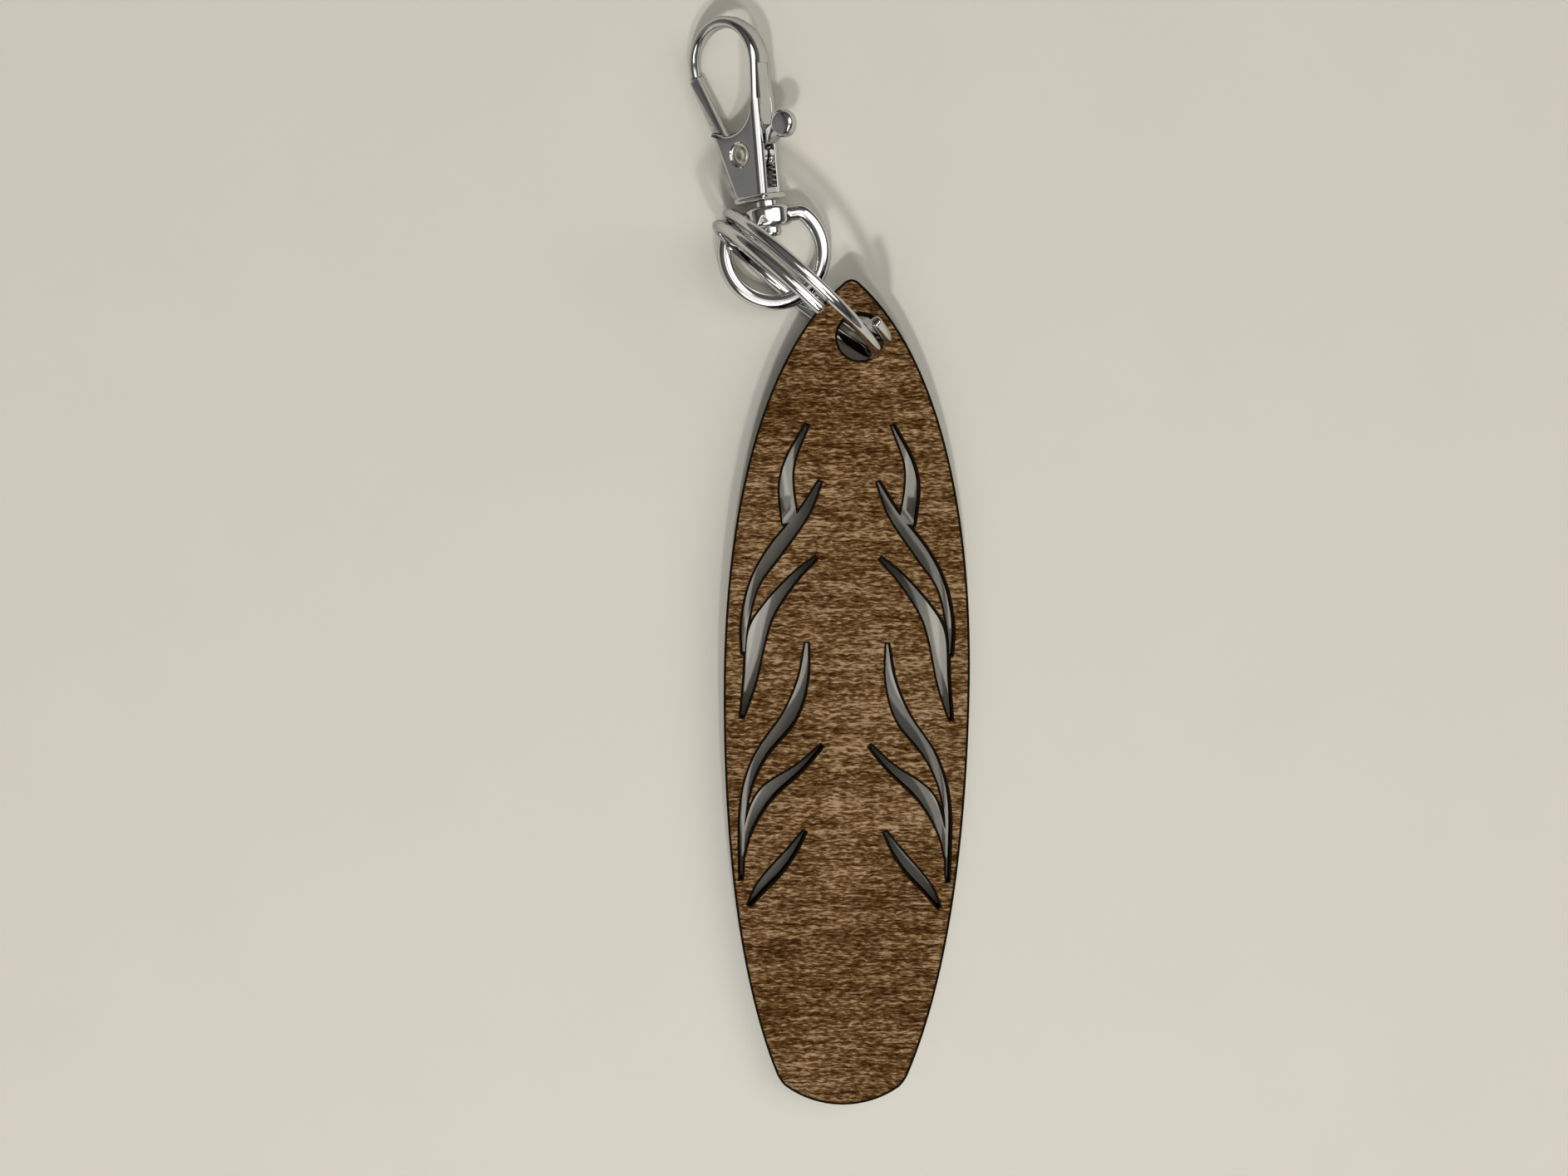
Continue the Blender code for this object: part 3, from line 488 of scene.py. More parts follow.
slide = joints["ring_slide"]
ring_z = Vector(slide["axis"]).normalized()
ring_x = Vector((math.cos(RING_HEADING), math.sin(RING_HEADING), 0))
ring_place = standing(Vector(slide["pos_m"]), ring_x, ring_z.cross(ring_x), ring_z)
ring_turn = RING_END - RING_START
ring_rise = -RING_PITCH * ring_turn / math.tau
ring_lift = RING_PITCH * (RING_MIDDLE - RING_START) / math.tau
ring_begin = Matrix.Translation((0, 0, ring_lift)) @ Matrix.Rotation(RING_START, 4, "Z")
work = coil(
    RING_RADIUS, RING_WIRE, ring_rise, ring_turn, RING_STEPS, WIRE_SIDES, WIRE_END, ring_begin
)
ring_finish = nickel("ring_nickel", RING_BRIGHT, RING_DULL, 0.06, 0.15)
fit("split_ring_wire", to_mesh(work, ring_place), ring_finish, "ring", "split_ring")


# Swivel ring: cast loop, round in section, with a straight bar along its top
# and a drilled boss on the bar. It is tumbled smooth and plated.
LOOP_RADIUS = 0.0061
LOOP_WIRE = 0.002
LOOP_STEPS = 72
BAR_HEIGHT = 0.00445
LOOP_CORNER = 0.0011
LOOP_CORNER_STEPS = 10
BOSS_RADIUS = 0.0028
BOSS_HEIGHT = 0.0026
BOSS_EDGE = 0.0006
BORE_TOP = 0.01
STUD_RADIUS = 0.0008
RUNNING_GAP = 0.00006
NECK_LENGTH = 0.0007
TURNED_SIDES = 48
RIM_STEPS = 6
CLASP_TURN = math.radians(9)
LOOP_BRIGHT = (0.78, 0.78, 0.77, 1)
LOOP_DULL = (0.56, 0.55, 0.53, 1)


def combine(base, tools):
    """Adds or cuts away solids from a base solid, one after another."""
    objects = []
    for work in [base] + [tool for _, tool in tools]:
        bmesh.ops.recalc_face_normals(work, faces=work.faces)
        shape = bpy.data.meshes.new("solid")
        work.to_mesh(shape)
        work.free()
        objects.append(add_object("solid", shape))
    for (operation, _), tool in zip(tools, objects[1:]):
        step = objects[0].modifiers.new("step", "BOOLEAN")
        step.operation = operation
        step.solver = "EXACT"
        step.object = tool
    graph = bpy.context.evaluated_depsgraph_get()
    joined = bmesh.new()
    joined.from_object(objects[0], graph)
    for made in objects:
        bpy.data.meshes.remove(made.data)
    return joined


def turned_piece(profile):
    """A solid turned about local Y from (radius, y) points, from its top down."""
    work = bmesh.new()
    row = [work.verts.new((radius, y, 0)) for radius, y in profile]
    line = [work.edges.new(pair) for pair in zip(row, row[1:])]
    bmesh.ops.spin(
        work,
        geom=row + line,
        cent=(0, 0, 0),
        axis=(0, 1, 0),
        angle=math.tau,
        steps=TURNED_SIDES,
        use_merge=True,
    )
    bmesh.ops.remove_doubles(work, verts=work.verts, dist=FINE_DISTANCE)
    return work


def barrel(radius, low, high, edge):
    """Points of a round bar's side with rounded rims, from its top down."""
    upper = arc(Vector((radius - edge, high - edge)), edge, math.pi / 2, 0, RIM_STEPS)
    lower = arc(Vector((radius - edge, low + edge)), edge, 0, -math.pi / 2, RIM_STEPS)
    return [(0, high), *upper, *lower, (0, low)]


def drill(radius, low, high):
    """A plain round bar about local Y that cuts a hole."""
    return turned_piece([(0, high), (radius, high), (radius, low), (0, low)])


def sweep(work, open_end, centre, turn, steps):
    """Carries an open wire end round a centre in the ring's plane."""
    made = bmesh.ops.spin(
        work, geom=open_end, cent=centre, axis=(0, 0, -1), angle=turn, steps=steps
    )
    return made["geom_last"]


work = bmesh.new()
bmesh.ops.create_circle(work, segments=WIRE_SIDES, radius=LOOP_WIRE / 2)
bmesh.ops.rotate(work, verts=work.verts, matrix=Matrix.Rotation(math.pi / 2, 3, "Y"))
bmesh.ops.translate(work, verts=work.verts, vec=(0, BAR_HEIGHT, 0))
corner_y = BAR_HEIGHT - LOOP_CORNER
corner_x = math.sqrt((LOOP_RADIUS - LOOP_CORNER) ** 2 - corner_y**2)
corner_turn = math.pi / 2 - math.atan2(corner_y, corner_x)
pulled = bmesh.ops.extrude_edge_only(work, edges=work.edges[:])["geom"]
end_verts = [item for item in pulled if isinstance(item, bmesh.types.BMVert)]
end_edges = [edge for edge in work.edges if set(edge.verts) <= set(end_verts)]
bmesh.ops.translate(work, verts=end_verts, vec=(corner_x, 0, 0))
right_corner, left_corner = (corner_x, corner_y, 0), (-corner_x, corner_y, 0)
front = sweep(work, end_verts + end_edges, right_corner, corner_turn, LOOP_CORNER_STEPS)
front = sweep(work, front, (0, 0, 0), math.tau - 2 * corner_turn, LOOP_STEPS)
sweep(work, front, left_corner, corner_turn, LOOP_CORNER_STEPS)
bmesh.ops.bridge_loops(work, edges=[edge for edge in work.edges if edge.is_boundary])
boss_low, boss_high = BAR_HEIGHT - BOSS_HEIGHT / 2, BAR_HEIGHT + BOSS_HEIGHT / 2
boss = turned_piece(barrel(BOSS_RADIUS, boss_low, boss_high, BOSS_EDGE))
bore = drill(STUD_RADIUS + RUNNING_GAP, 0, BORE_TOP)
work = combine(work, [("UNION", boss), ("DIFFERENCE", bore)])
swivel = joints["clasp_swivel"]
stud_y = Vector(swivel["axis"]).normalized()
loop_x = Vector((math.cos(CLASP_TURN), math.sin(CLASP_TURN), 0))
foot_place = Vector(swivel["pos_m"])
loop_centre = foot_place - stud_y * (BAR_HEIGHT + BOSS_HEIGHT / 2 + NECK_LENGTH)
loop_place = standing(loop_centre, loop_x, stud_y, loop_x.cross(stud_y))
loop_mesh = to_mesh(work, loop_place)
loop_finish = nickel("swivel_nickel", LOOP_BRIGHT, LOOP_DULL, 0.06, 0.2)
fit("swivel_loop", loop_mesh, loop_finish, "swivel", "swivel_ring")


# Swivel stud: a turned rivet through the boss, its neck in the gap below the
# clasp's foot and its head under the bar, with a small centre dimple.
STUD_HEAD_RADIUS = 0.00135
STUD_HEAD_HEIGHT = 0.0011
STUD_HEAD_EDGE = 0.0005
STUD_REACH = 0.0012
NECK_RADIUS = 0.0013
DIMPLE_RADIUS = 0.0005
DIMPLE_FLOOR = DIMPLE_RADIUS * 0.6
DIMPLE_DEPTH = 0.00025
STUD_BRIGHT = (0.75, 0.75, 0.73, 1)
STUD_DULL = (0.50, 0.49, 0.46, 1)
under_boss = -NECK_LENGTH - BOSS_HEIGHT - RUNNING_GAP
head_bottom = under_boss - STUD_HEAD_HEIGHT
profile = [
    (0, STUD_REACH),
    (STUD_RADIUS, STUD_REACH),
    (STUD_RADIUS, -RUNNING_GAP),
    (NECK_RADIUS, -RUNNING_GAP),
    (NECK_RADIUS, RUNNING_GAP - NECK_LENGTH),
    (STUD_RADIUS, RUNNING_GAP - NECK_LENGTH),
    (STUD_RADIUS, under_boss),
    (STUD_HEAD_RADIUS, under_boss),
]
head_corner = Vector((STUD_HEAD_RADIUS - STUD_HEAD_EDGE, head_bottom + STUD_HEAD_EDGE))
profile += arc(head_corner, STUD_HEAD_EDGE, 0, -math.pi / 2, RIM_STEPS)
dimple_top = head_bottom + DIMPLE_DEPTH
profile += [(DIMPLE_RADIUS, head_bottom), (DIMPLE_FLOOR, dimple_top), (0, dimple_top)]
stud_z = -Vector(joints["gate_pivot"]["axis"]).normalized()
stud_x = stud_y.cross(stud_z)
stud_place = standing(foot_place, stud_x, stud_y, stud_z)
stud_mesh = to_mesh(turned_piece(profile), stud_place)
stud_finish = nickel("stud_nickel", STUD_BRIGHT, STUD_DULL, 0.12, 0.2)
fit("swivel_rivet", stud_mesh, stud_finish, "clasp", "swivel_stud")


# Clasp body: one casting with two cheeks on a foot, an open channel between
# them for the lever, and a slim shank that runs up into the hook. The foot
# has a proud flange square to the stud, and both cheeks are sunk at the pin.
BODY_THICKNESS = 0.0042
FOOT_LEFT = -0.0031
FOOT_LOW = 0.0002
FOOT_LEFT_INSET = 0.0001
FOOT_RIGHT_INSET = 0.0002
FOOT_FACE_INSET = 0.0004
SHANK_X = 0.0013
SHANK_WIDTH = 0.0011
SHANK_STEP = 0.0001
SHANK_TAPER_Y = 0.0145
SHANK_TAPER_DEPTH = 0.0037
SHOULDER = Vector((-0.0065, 0.0088))
SHOULDER_FULLNESS = 0.2
SHOULDER_STEPS = 8
SCOOP = Vector((-0.0041, 0.0082))
SCOOP_FULLNESS = 0.55
SCOOP_STEPS = 24
CHEEK_TOP = 0.0124
CHANNEL_WIDTH = 0.0019
CHANNEL_FLOOR = 0.0016
CHANNEL_TOP = 0.0116
STEM_SLOT_TOP = 0.0092
WEB_OVERLAP = 0.0003
WEB_TOP_INSET = 0.0002
GROOVE_TOP = 0.0166
GROOVE_DEPTH = 0.00012
OVERCUT = 0.001
FLANGE_HEIGHT = 0.0009
FLANGE_PROUD = 0.0003
FLANGE_EDGE = 0.00038
BODY_EDGE = 0.00048
INNER_EDGE = 0.00005
RIDGE_ROUND = 0.0009
RIDGE_STEPS = 10
CHANNEL_EDGE = 0.00012
CLASP_LEAN = math.radians(-5.5)
HOOK_TOP = 0.0225
HOOK_WIDTH = 0.0117
HOOK_TIP_ANGLE = math.radians(190)
HOOK_STEPS = 40
HOOK_ROUNDING = 0.42
HOOK_WIDTHS = (SHANK_WIDTH, 0.0015, 0.00105)
HOOK_DEPTHS = (0.0034, 0.0024, 0.0012)
SOCKET_MOUTH = -0.002
PIN = Vector((-0.0019, 0.0058))
PIN_RADIUS = 0.00105
PIN_DRILL = 0.005
RECESS_RADIUS = 0.0016
RECESS_SLOPE = 0.00035
RECESS_DEPTH = 0.0003
BODY_BRIGHT = (0.66, 0.66, 0.65, 1)
BODY_DULL = (0.50, 0.50, 0.48, 1)


def soften(work, parts, size, segments, affect="EDGES"):
    """Rounds edges or corners off by a size."""
    bmesh.ops.bevel(
        work,
        geom=parts,
        offset=size,
        affect=affect,
        segments=segments,
        profile=0.5,
        material=-1,
    )


def slab(outline, low, high, low_edge, high_edge):
    """A flat plate between two heights, each of its two rims rounded."""
    work = bmesh.new()
    face = work.faces.new([work.verts.new((point.x, point.y, low)) for point in outline])
    thicken(work, [face], (0, 0, high - low))
    bmesh.ops.recalc_face_normals(work, faces=work.faces)
    for height, size in ((low, low_edge), (high, high_edge)):
        level = {vert for vert in work.verts if abs(vert.co.z - height) < MERGE_DISTANCE}
        soften(work, [edge for edge in work.edges if set(edge.verts) <= level], size, 5)
    return work


def block(low, high, edge):
    """A block between two corners, its edges rounded."""
    work = bmesh.new()
    bmesh.ops.create_cube(work, size=1)
    bmesh.ops.scale(work, verts=work.verts, vec=high - low)
    bmesh.ops.translate(work, verts=work.verts, vec=(low + high) / 2)
    soften(work, work.edges[:], edge, 4)
    return work


def round_bar(radius_low, radius_high, low, high, middle):
    """A round bar or cone along local Z, at a place in the clasp's plane."""
    work = bmesh.new()
    bmesh.ops.create_cone(
        work,
        cap_ends=True,
        segments=TURNED_SIDES,
        radius1=radius_low,
        radius2=radius_high,
        depth=high - low,
    )
    bmesh.ops.translate(work, verts=work.verts, vec=(middle.x, middle.y, (low + high) / 2))
    return work


def hook_point(turn):
    """A point on the hook's middle line, an arc from the shank."""
    radius = (HOOK_WIDTH - SHANK_WIDTH) / 2
    centre = Vector((SHANK_X - HOOK_WIDTH / 2, HOOK_TOP - SHANK_WIDTH / 2 - radius))
    return centre + radius * Vector((math.cos(turn), math.sin(turn)))


def between(share, sizes):
    """A size along the hook, from even stops."""
    step = min(int(share * (len(sizes) - 1)), len(sizes) - 2)
    return sizes[step] + (sizes[step + 1] - sizes[step]) * (share * (len(sizes) - 1) - step)


def loft(stations):
    """A bar through sections of (middle, heading, width, depth), rounded squares all."""
    work = bmesh.new()
    sections = []
    for middle, heading, width, depth in stations:
        corners = bmesh.ops.create_grid(work, x_segments=1, y_segments=1, size=0.5)["verts"]
        soften(work, corners, HOOK_ROUNDING, 6, "VERTICES")
        face = work.faces[:][-1]
        turn = Matrix.Rotation(heading - math.pi / 2, 4, "Z") @ Matrix.Rotation(math.pi / 2, 4, "X")
        place = Matrix.Translation((middle.x, middle.y, 0)) @ turn
        size = Matrix.Diagonal((width, depth, 1, 1))
        bmesh.ops.transform(work, matrix=place @ size, verts=face.verts[:])
        sections.append(face)
    for first, second in zip(sections, sections[1:]):
        bmesh.ops.bridge_loops(work, edges=first.edges[:] + second.edges[:])
    bmesh.ops.delete(work, geom=sections[1:-1], context="FACES_ONLY")
    return work


inner = SHANK_X - SHANK_WIDTH
top = Vector((inner, CHEEK_TOP))
reach = Vector((inner - SCOOP.x, 0))
drop = Vector((0, (SCOOP.y - CHEEK_TOP) * SCOOP_FULLNESS))
lean = Vector((1, -math.tan(CLASP_LEAN)))
foot_left = lean * FOOT_LEFT + Vector((0, FLANGE_HEIGHT / 2))
foot_right = lean * SHANK_X + Vector((0, FLANGE_HEIGHT / 2))
outline = [foot_left, foot_right, Vector((SHANK_X, CHEEK_TOP))]
outline += bezier(top, top + drop, SCOOP + reach * SCOOP_FULLNESS, SCOOP, SCOOP_STEPS)
ease = reach * SHOULDER_FULLNESS
outline += bezier(SCOOP, SCOOP - ease, SHOULDER + ease, SHOULDER, SHOULDER_STEPS)
outline += [SHOULDER]
half = BODY_THICKNESS / 2
channel_half = CHANNEL_WIDTH / 2
front_cheek = slab(outline, channel_half, half, CHANNEL_EDGE, BODY_EDGE)
back_cheek = slab(outline, -half, -channel_half, BODY_EDGE, CHANNEL_EDGE)
foot_block = block(
    Vector((FOOT_LEFT + FOOT_LEFT_INSET, FOOT_LOW, -half + FOOT_FACE_INSET)),
    Vector((SHANK_X - FOOT_RIGHT_INSET, CHANNEL_FLOOR, half - FOOT_FACE_INSET)),
    INNER_EDGE,
)
web = block(
    Vector((inner, STEM_SLOT_TOP, -channel_half - WEB_OVERLAP)),
    Vector((SHANK_X - GROOVE_DEPTH, CHEEK_TOP - WEB_TOP_INSET, channel_half + WEB_OVERLAP)),
    INNER_EDGE,
)
groove = block(
    Vector((SHANK_X - GROOVE_DEPTH, CHANNEL_TOP - OVERCUT, -channel_half)),
    Vector((SHANK_X + OVERCUT, GROOVE_TOP, channel_half)),
    INNER_EDGE,
)
shank_middle = SHANK_X - SHANK_WIDTH / 2
upright = math.pi / 2
stations = [
    (Vector((shank_middle, CHANNEL_TOP)), upright, SHANK_WIDTH, BODY_THICKNESS),
    (Vector((shank_middle, CHEEK_TOP)), upright, SHANK_WIDTH, BODY_THICKNESS - SHANK_STEP),
    (Vector((shank_middle, SHANK_TAPER_Y)), upright, SHANK_WIDTH, SHANK_TAPER_DEPTH),
]
for step in range(HOOK_STEPS + 1):
    share = step / HOOK_STEPS
    turn = HOOK_TIP_ANGLE * share
    width = between(share, HOOK_WIDTHS)
    depth = between(share, HOOK_DEPTHS)
    stations.append((hook_point(turn), turn + upright, width, depth))
hook = loft(stations)
outside = Vector((SHANK_X + RIDGE_ROUND, half + RIDGE_ROUND))
inside = outside - Vector((2, 2)) * RIDGE_ROUND
filed = arc(inside, RIDGE_ROUND, math.pi / 2, 0, RIDGE_STEPS)
filed += [Vector((outside.x, inside.y)), outside, Vector((inside.x, outside.y))]
front_ridge, back_ridge = bmesh.new(), bmesh.new()
for work, side in ((front_ridge, 1), (back_ridge, -1)):
    places = [(point.x, FLANGE_HEIGHT / 2, side * point.y) for point in filed]
    face = work.faces.new([work.verts.new(place) for place in places])
    thicken(work, [face], (0, CHEEK_TOP - FLANGE_HEIGHT / 2, 0))
flange = block(
    Vector((FOOT_LEFT - FLANGE_PROUD, 0, -half - FLANGE_PROUD / 2)),
    Vector((SHANK_X + FLANGE_PROUD, FLANGE_HEIGHT, half + FLANGE_PROUD / 2)),
    FLANGE_EDGE,
)
socket = drill(STUD_RADIUS + RUNNING_GAP, SOCKET_MOUTH, STUD_REACH + RUNNING_GAP)
for leaning in (flange, socket):
    bmesh.ops.rotate(leaning, verts=leaning.verts, matrix=Matrix.Rotation(-CLASP_LEAN, 3, "Z"))
pin_bore = PIN_RADIUS + RUNNING_GAP
pin_hole = round_bar(pin_bore, pin_bore, -PIN_DRILL, PIN_DRILL, PIN)
sink_floor, sink_mouth = RECESS_RADIUS - RECESS_SLOPE, RECESS_RADIUS + RECESS_SLOPE
front_sink = round_bar(sink_floor, sink_mouth, half - RECESS_DEPTH, half + RECESS_DEPTH, PIN)
back_sink = round_bar(sink_mouth, sink_floor, -half - RECESS_DEPTH, RECESS_DEPTH - half, PIN)
work = combine(
    front_cheek,
    [
        ("UNION", back_cheek),
        ("UNION", foot_block),
        ("UNION", web),
        ("UNION", hook),
        ("DIFFERENCE", front_ridge),
        ("DIFFERENCE", back_ridge),
        ("DIFFERENCE", groove),
        ("UNION", flange),
        ("DIFFERENCE", pin_hole),
        ("DIFFERENCE", front_sink),
        ("DIFFERENCE", back_sink),
        ("DIFFERENCE", socket),
    ],
)
clasp_place = stud_place @ Matrix.Rotation(CLASP_LEAN, 4, "Z")
clasp_mesh = to_mesh(work, clasp_place)
clasp_finish = nickel("clasp_nickel", BODY_BRIGHT, BODY_DULL, 0.06, 0.22)
fit("clasp_casting", clasp_mesh, clasp_finish, "clasp", "clasp_body")


# Gate lever: a flat casting that turns on the pin in the channel. Its gate
# runs up to the hook's tip, and a stem carries the thumb knob out past the
# shank. The knob's rim is rounded, and the lever is plated with the body.
GATE_WIDTH = 0.0014
GATE_PROUD = 0.0007
GATE_HEEL_Y = 0.0067
GATE_FOOT_RISE = 0.0012
GATE_FOOT_FLARE = 1.2
HUB_RADIUS = 0.0023
HUB_LOW_TURN = math.radians(200)
HUB_HIGH_TURN = math.radians(140)
HUB_LOW_STEPS = 12
HUB_STEPS = 8
KNOB = Vector((0.0038, 0.0091))
KNOB_RADIUS = 0.00165
KNOB_CORE = 0.00135
KNOB_EDGE = 0.00055
KNOB_PROUD = 0.00005
KNOB_STEPS = 36
STEM_WIDTH = 0.0017
LEVER_GAP = 0.00015
SEAT_GAP = 0.0003
LEVER_EDGE = 0.00022
SPRING_X = -0.0003
SPRING_RADIUS = 0.00065
SPRING_SEAT = 0.0044
LEVER_BRIGHT = (0.66, 0.66, 0.65, 1)
LEVER_DULL = (0.48, 0.48, 0.46, 1)
tip_heading = Vector((-math.sin(HOOK_TIP_ANGLE), math.cos(HOOK_TIP_ANGLE)))
tip = hook_point(HOOK_TIP_ANGLE) + tip_heading * SEAT_GAP - PIN
along = (tip - SHOULDER + PIN - Vector((GATE_WIDTH / 2 - GATE_PROUD, 0))).normalized()
across = Vector((-along.y, along.x)) * GATE_WIDTH / 2
heel = tip - along * (tip.y - GATE_HEEL_Y + PIN.y) / along.y
knob = KNOB - PIN
seat = SPRING_SEAT - PIN.y
notch_x = SPRING_X - PIN.x - SPRING_RADIUS - SEAT_GAP
notch_turn = math.tau - math.acos(notch_x / HUB_RADIUS)
seat_turn = math.asin(seat / HUB_RADIUS)
knob_turn = math.atan2(knob.y, knob.x)
knob_half = math.asin(STEM_WIDTH / 2 / KNOB_CORE)
knob_start = knob_turn - math.pi + knob_half
knob_end = knob_turn + math.pi - knob_half
stem_half = math.asin(STEM_WIDTH / 2 / HUB_RADIUS)
hub = Vector((0, 0))
outline = [tip + across, heel + across]
outline += arc(hub, HUB_RADIUS, HUB_LOW_TURN, notch_turn, HUB_LOW_STEPS)
outline += [Vector((notch_x, seat))]
outline += arc(hub, HUB_RADIUS, seat_turn, knob_turn - stem_half, HUB_STEPS)
outline += arc(knob, KNOB_CORE, knob_start, knob_end, KNOB_STEPS)
outline += arc(hub, HUB_RADIUS, knob_turn + stem_half, HUB_HIGH_TURN, HUB_STEPS)
outline += [heel - across * GATE_FOOT_FLARE + along * GATE_FOOT_RISE, tip - across]
lever_half = CHANNEL_WIDTH / 2 - LEVER_GAP
lever = slab(outline, -lever_half, lever_half, LEVER_EDGE, LEVER_EDGE)
lever_hole = round_bar(pin_bore, pin_bore, -PIN_DRILL, PIN_DRILL, hub)
knob_height = lever_half + KNOB_PROUD
button = turned_piece(barrel(KNOB_RADIUS, -knob_height, knob_height, KNOB_EDGE))
bmesh.ops.rotate(button, verts=button.verts, matrix=Matrix.Rotation(math.pi / 2, 3, "X"))
bmesh.ops.translate(button, verts=button.verts, vec=(knob.x, knob.y, 0))
work = combine(lever, [("UNION", button), ("DIFFERENCE", lever_hole)])
gate_place = clasp_place @ Matrix.Translation((PIN.x, PIN.y, 0))
lever_mesh = to_mesh(work, gate_place)
lever_finish = nickel("lever_nickel", LEVER_BRIGHT, LEVER_DULL, 0.07, 0.25)
fit("gate_and_knob", lever_mesh, lever_finish, "gate", "gate_lever")


# Pivot pin: a warm nickel rivet through both cheeks and the lever's hub, its
# ends peened into shallow domes, with flared rims that fill the sunk holes.
PIN_HALF = BODY_THICKNESS / 2 - RECESS_DEPTH / 2
PIN_END = (
    (0, -0.00016),
    (0.00025, -0.00014),
    (0.00055, -0.00003),
    (0.00075, 0),
    (0.00092, -0.00005),
    (0.00103, -0.00012),
    (0.00118, -0.00011),
    (0.00134, -0.00003),
    (0.0014, 0.00001),
    (0.00138, -0.00002),
    (0.00121, -0.00013),
    (PIN_RADIUS, -0.00013),
)
PIN_BRIGHT = (0.82, 0.79, 0.70, 1)
PIN_DULL = (0.62, 0.58, 0.48, 1)
end = [(radius, PIN_HALF + rise) for radius, rise in PIN_END]
work = turned_piece(end + [(radius, -height) for radius, height in reversed(end)])
bmesh.ops.rotate(work, verts=work.verts, matrix=Matrix.Rotation(math.pi / 2, 3, "X"))
pin_finish = nickel("pin_nickel", PIN_BRIGHT, PIN_DULL, 0.32, 0.2)
fit("rivet_pin", to_mesh(work, gate_place), pin_finish, "clasp", "pivot_pin")


# Lever spring: a small coil of plain spring wire between the channel's floor
# and the notch under the stem; it pushes the gate shut.
SPRING_WIRE = 0.00022
SPRING_PITCH = 0.00066
SPRING_STEPS = 130
SPRING_SIDES = 12
SPRING_END = 0.00004
SPRING_BRIGHT = (0.66, 0.66, 0.65, 1)
SPRING_DULL = (0.45, 0.44, 0.42, 1)
spring_low = CHANNEL_FLOOR + SPRING_WIRE / 2 + RUNNING_GAP
spring_high = SPRING_SEAT - SPRING_WIRE / 2 - RUNNING_GAP
spring_rise = spring_high - spring_low
work = coil(
    SPRING_RADIUS - SPRING_WIRE / 2,
    SPRING_WIRE,
    spring_rise,
    math.tau * spring_rise / SPRING_PITCH,
    SPRING_STEPS,
    SPRING_SIDES,
    SPRING_END,
)
stand = Matrix.Translation((SPRING_X, spring_low, 0)) @ Matrix.Rotation(-math.pi / 2, 4, "X")
spring_mesh = to_mesh(work, clasp_place @ stand)
spring_finish = nickel("spring_wire", SPRING_BRIGHT, SPRING_DULL, 0.32, 0.2)
fit("gate_spring", spring_mesh, spring_finish, "clasp", "lever_spring")


# Table, light and camera: a plain pale table top under soft studio light,
# with a pale wall low round it, seen from straight above with the board's
# tail at the bottom. Metal mirrors the wall only dimly.
TABLE_DARK = (0.555, 0.531, 0.463, 1)
TABLE_PALE = (0.595, 0.569, 0.497, 1)
TABLE_REACH = 1.5
TABLE_DROP = 0.00002
MOTTLE_SCALE = (60, 60, 60)
ROOM_COLOUR = (1.0, 0.99, 0.96, 1)
ROOM_GLOW = 0.03
ROOM_PANELS = (
    ((0, 0, 1), 0.3, 0.85, 0.1),
    ((0.08, -0.05, 1), 0.92, 0.97, 1.2),
    ((-0.94, -0.31, 0.12), 0.93, 0.98, 0.08),
    ((0.62, 0.20, 0.76), 0.9, 0.945, 1.8),
    ((-0.15, -0.7, 0.7), 0.94, 0.975, 2.2),
)
WALL_TOP = 0.34
WALL_FULL = 0.2
WALL_SEEN = 0.55
WALL_MIRRORED = 0.11
LAMP_SIZE = 0.07
LENS = 45.79
SENSOR_WIDTH = 36
VIEW_CENTRE = (-0.005541, -0.003078)
VIEW_HEIGHT = 0.252
bpy.context.scene.view_settings.view_transform = "Standard"
work = bmesh.new()
bmesh.ops.create_grid(work, x_segments=1, y_segments=1, size=TABLE_REACH)
table_finish, spot = new_finish("table_top", {"Roughness": 0.6})
mottle = spot.stretch(MOTTLE_SCALE).noise(3)
shade = ((mottle - 0.5) * 0.5 + 0.5).clamp()
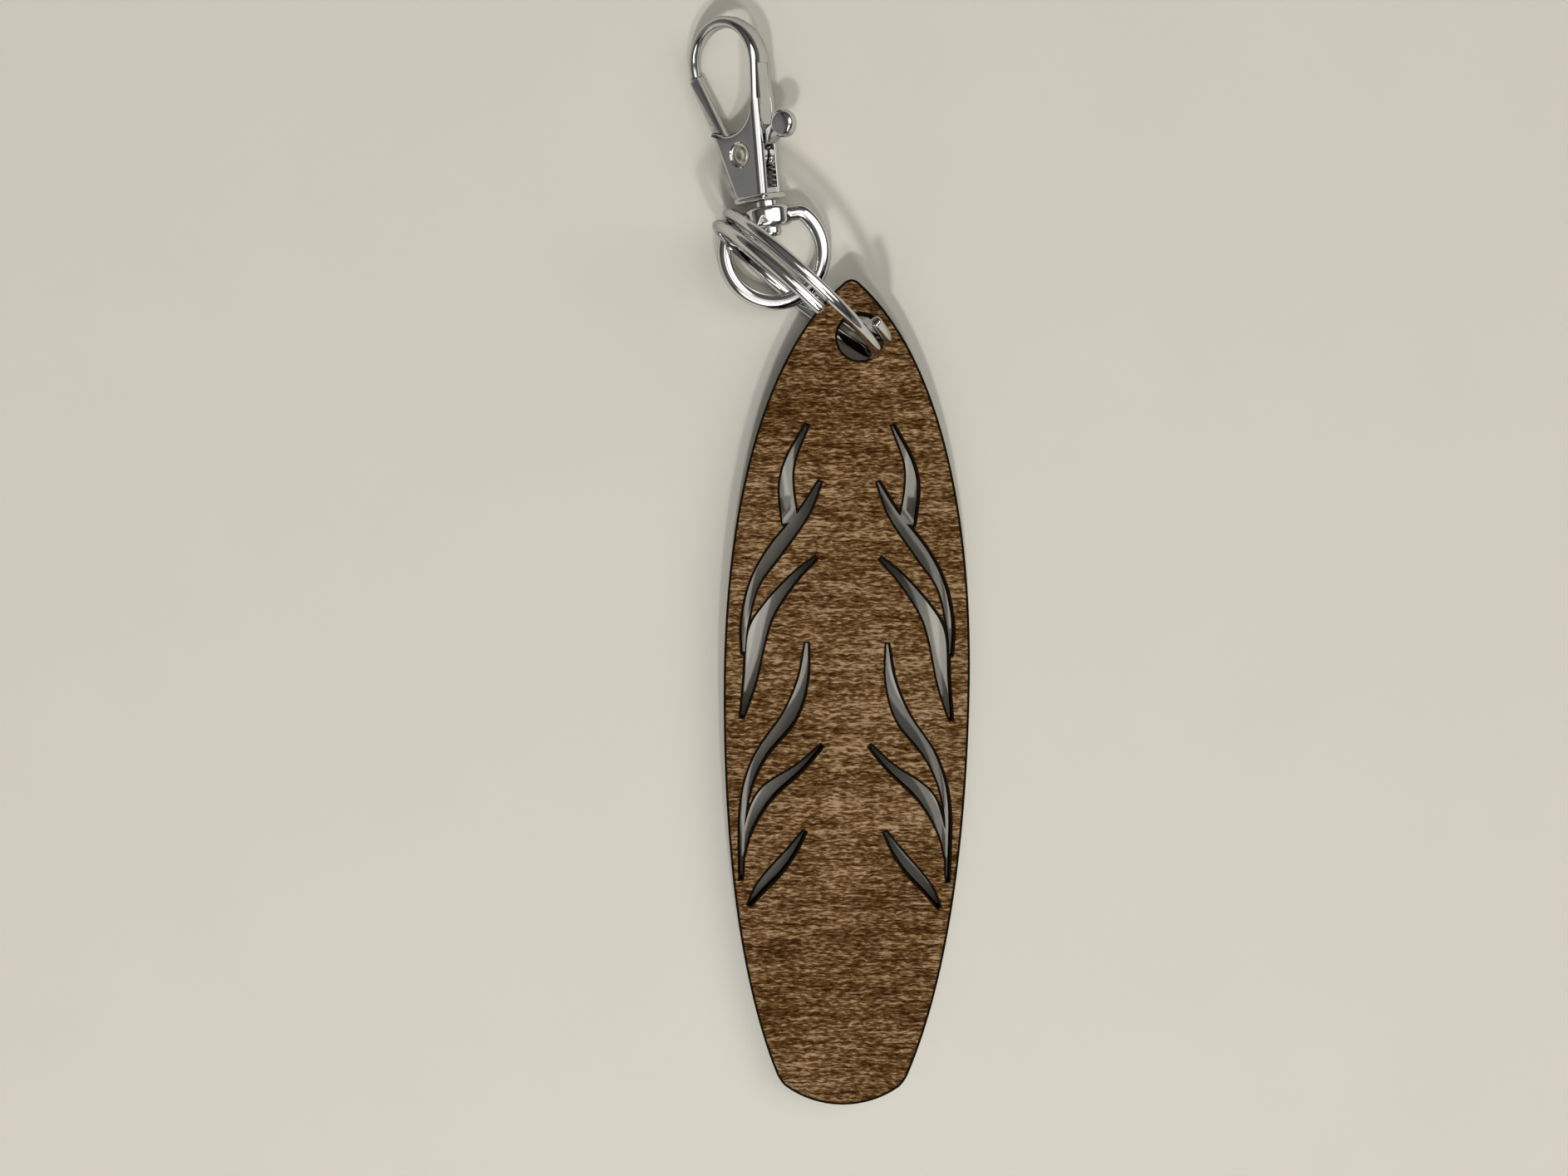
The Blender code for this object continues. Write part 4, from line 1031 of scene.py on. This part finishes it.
shade.mix(TABLE_DARK, TABLE_PALE).feed("Base Color")
table_mesh = to_mesh(work, Matrix.Translation((0, 0, -TABLE_DROP)))
table_mesh.materials.append(table_finish)
table = add_object("table_top", table_mesh)

world = bpy.data.worlds.new("studio")
bpy.context.scene.world = world
world.use_nodes = True
around = Shade(world.node_tree, None).node("TexCoord", {}, {}, "Generated")


def ease_in(value, none, full):
    """From 0 to 1 as a value goes from one limit to the other."""
    limits = {"Value": value, "From Min": none, "From Max": full}
    return value.node("MapRange", {"interpolation_type": "SMOOTHSTEP"}, limits)


def panel(direction, edge, core):
    """A soft patch of the room's light, full inside its core."""
    pair = {0: around, 1: Vector(direction).normalized()}
    return ease_in(around.node("VectorMath", {"operation": "DOT_PRODUCT"}, pair, 1), edge, core)


room = ROOM_GLOW
for direction, edge, core, strength in ROOM_PANELS:
    room = room + panel(direction, edge, core) * strength
height = around.node("SeparateXYZ", {}, {"Vector": around}, "Z")
seen = around.node("LightPath", {}, {}, "Is Camera Ray") * WALL_SEEN
mirrored = around.node("LightPath", {}, {}, "Is Glossy Ray") * WALL_MIRRORED
room = room + ease_in(height, WALL_TOP, WALL_FULL) * (seen + mirrored)
background = world.node_tree.nodes["Background"]
background.inputs["Color"].default_value = ROOM_COLOUR
world.node_tree.links.new(room.socket, background.inputs["Strength"])


def soft_box(name, place, power):
    """A square studio lamp that faces the middle of the table."""
    lamp = bpy.data.lights.new(name, "AREA")
    lamp.size = LAMP_SIZE
    lamp.energy = power
    stand = add_object(name, lamp)
    stand.location = place
    stand.rotation_euler = (-Vector(place)).to_track_quat("-Z", "Y").to_euler()


soft_box("key_lamp", (-0.06, -0.78, 1.24), 8.2)
soft_box("side_lamp", (0.20, -0.72, 1.24), 4.4)

lens = bpy.data.cameras.new("photo_camera")
lens.lens = LENS
lens.sensor_width = SENSOR_WIDTH
lens.sensor_fit = "HORIZONTAL"
camera = add_object("photo_camera", lens)
camera.location = (*VIEW_CENTRE, VIEW_HEIGHT)
bpy.context.scene.camera = camera
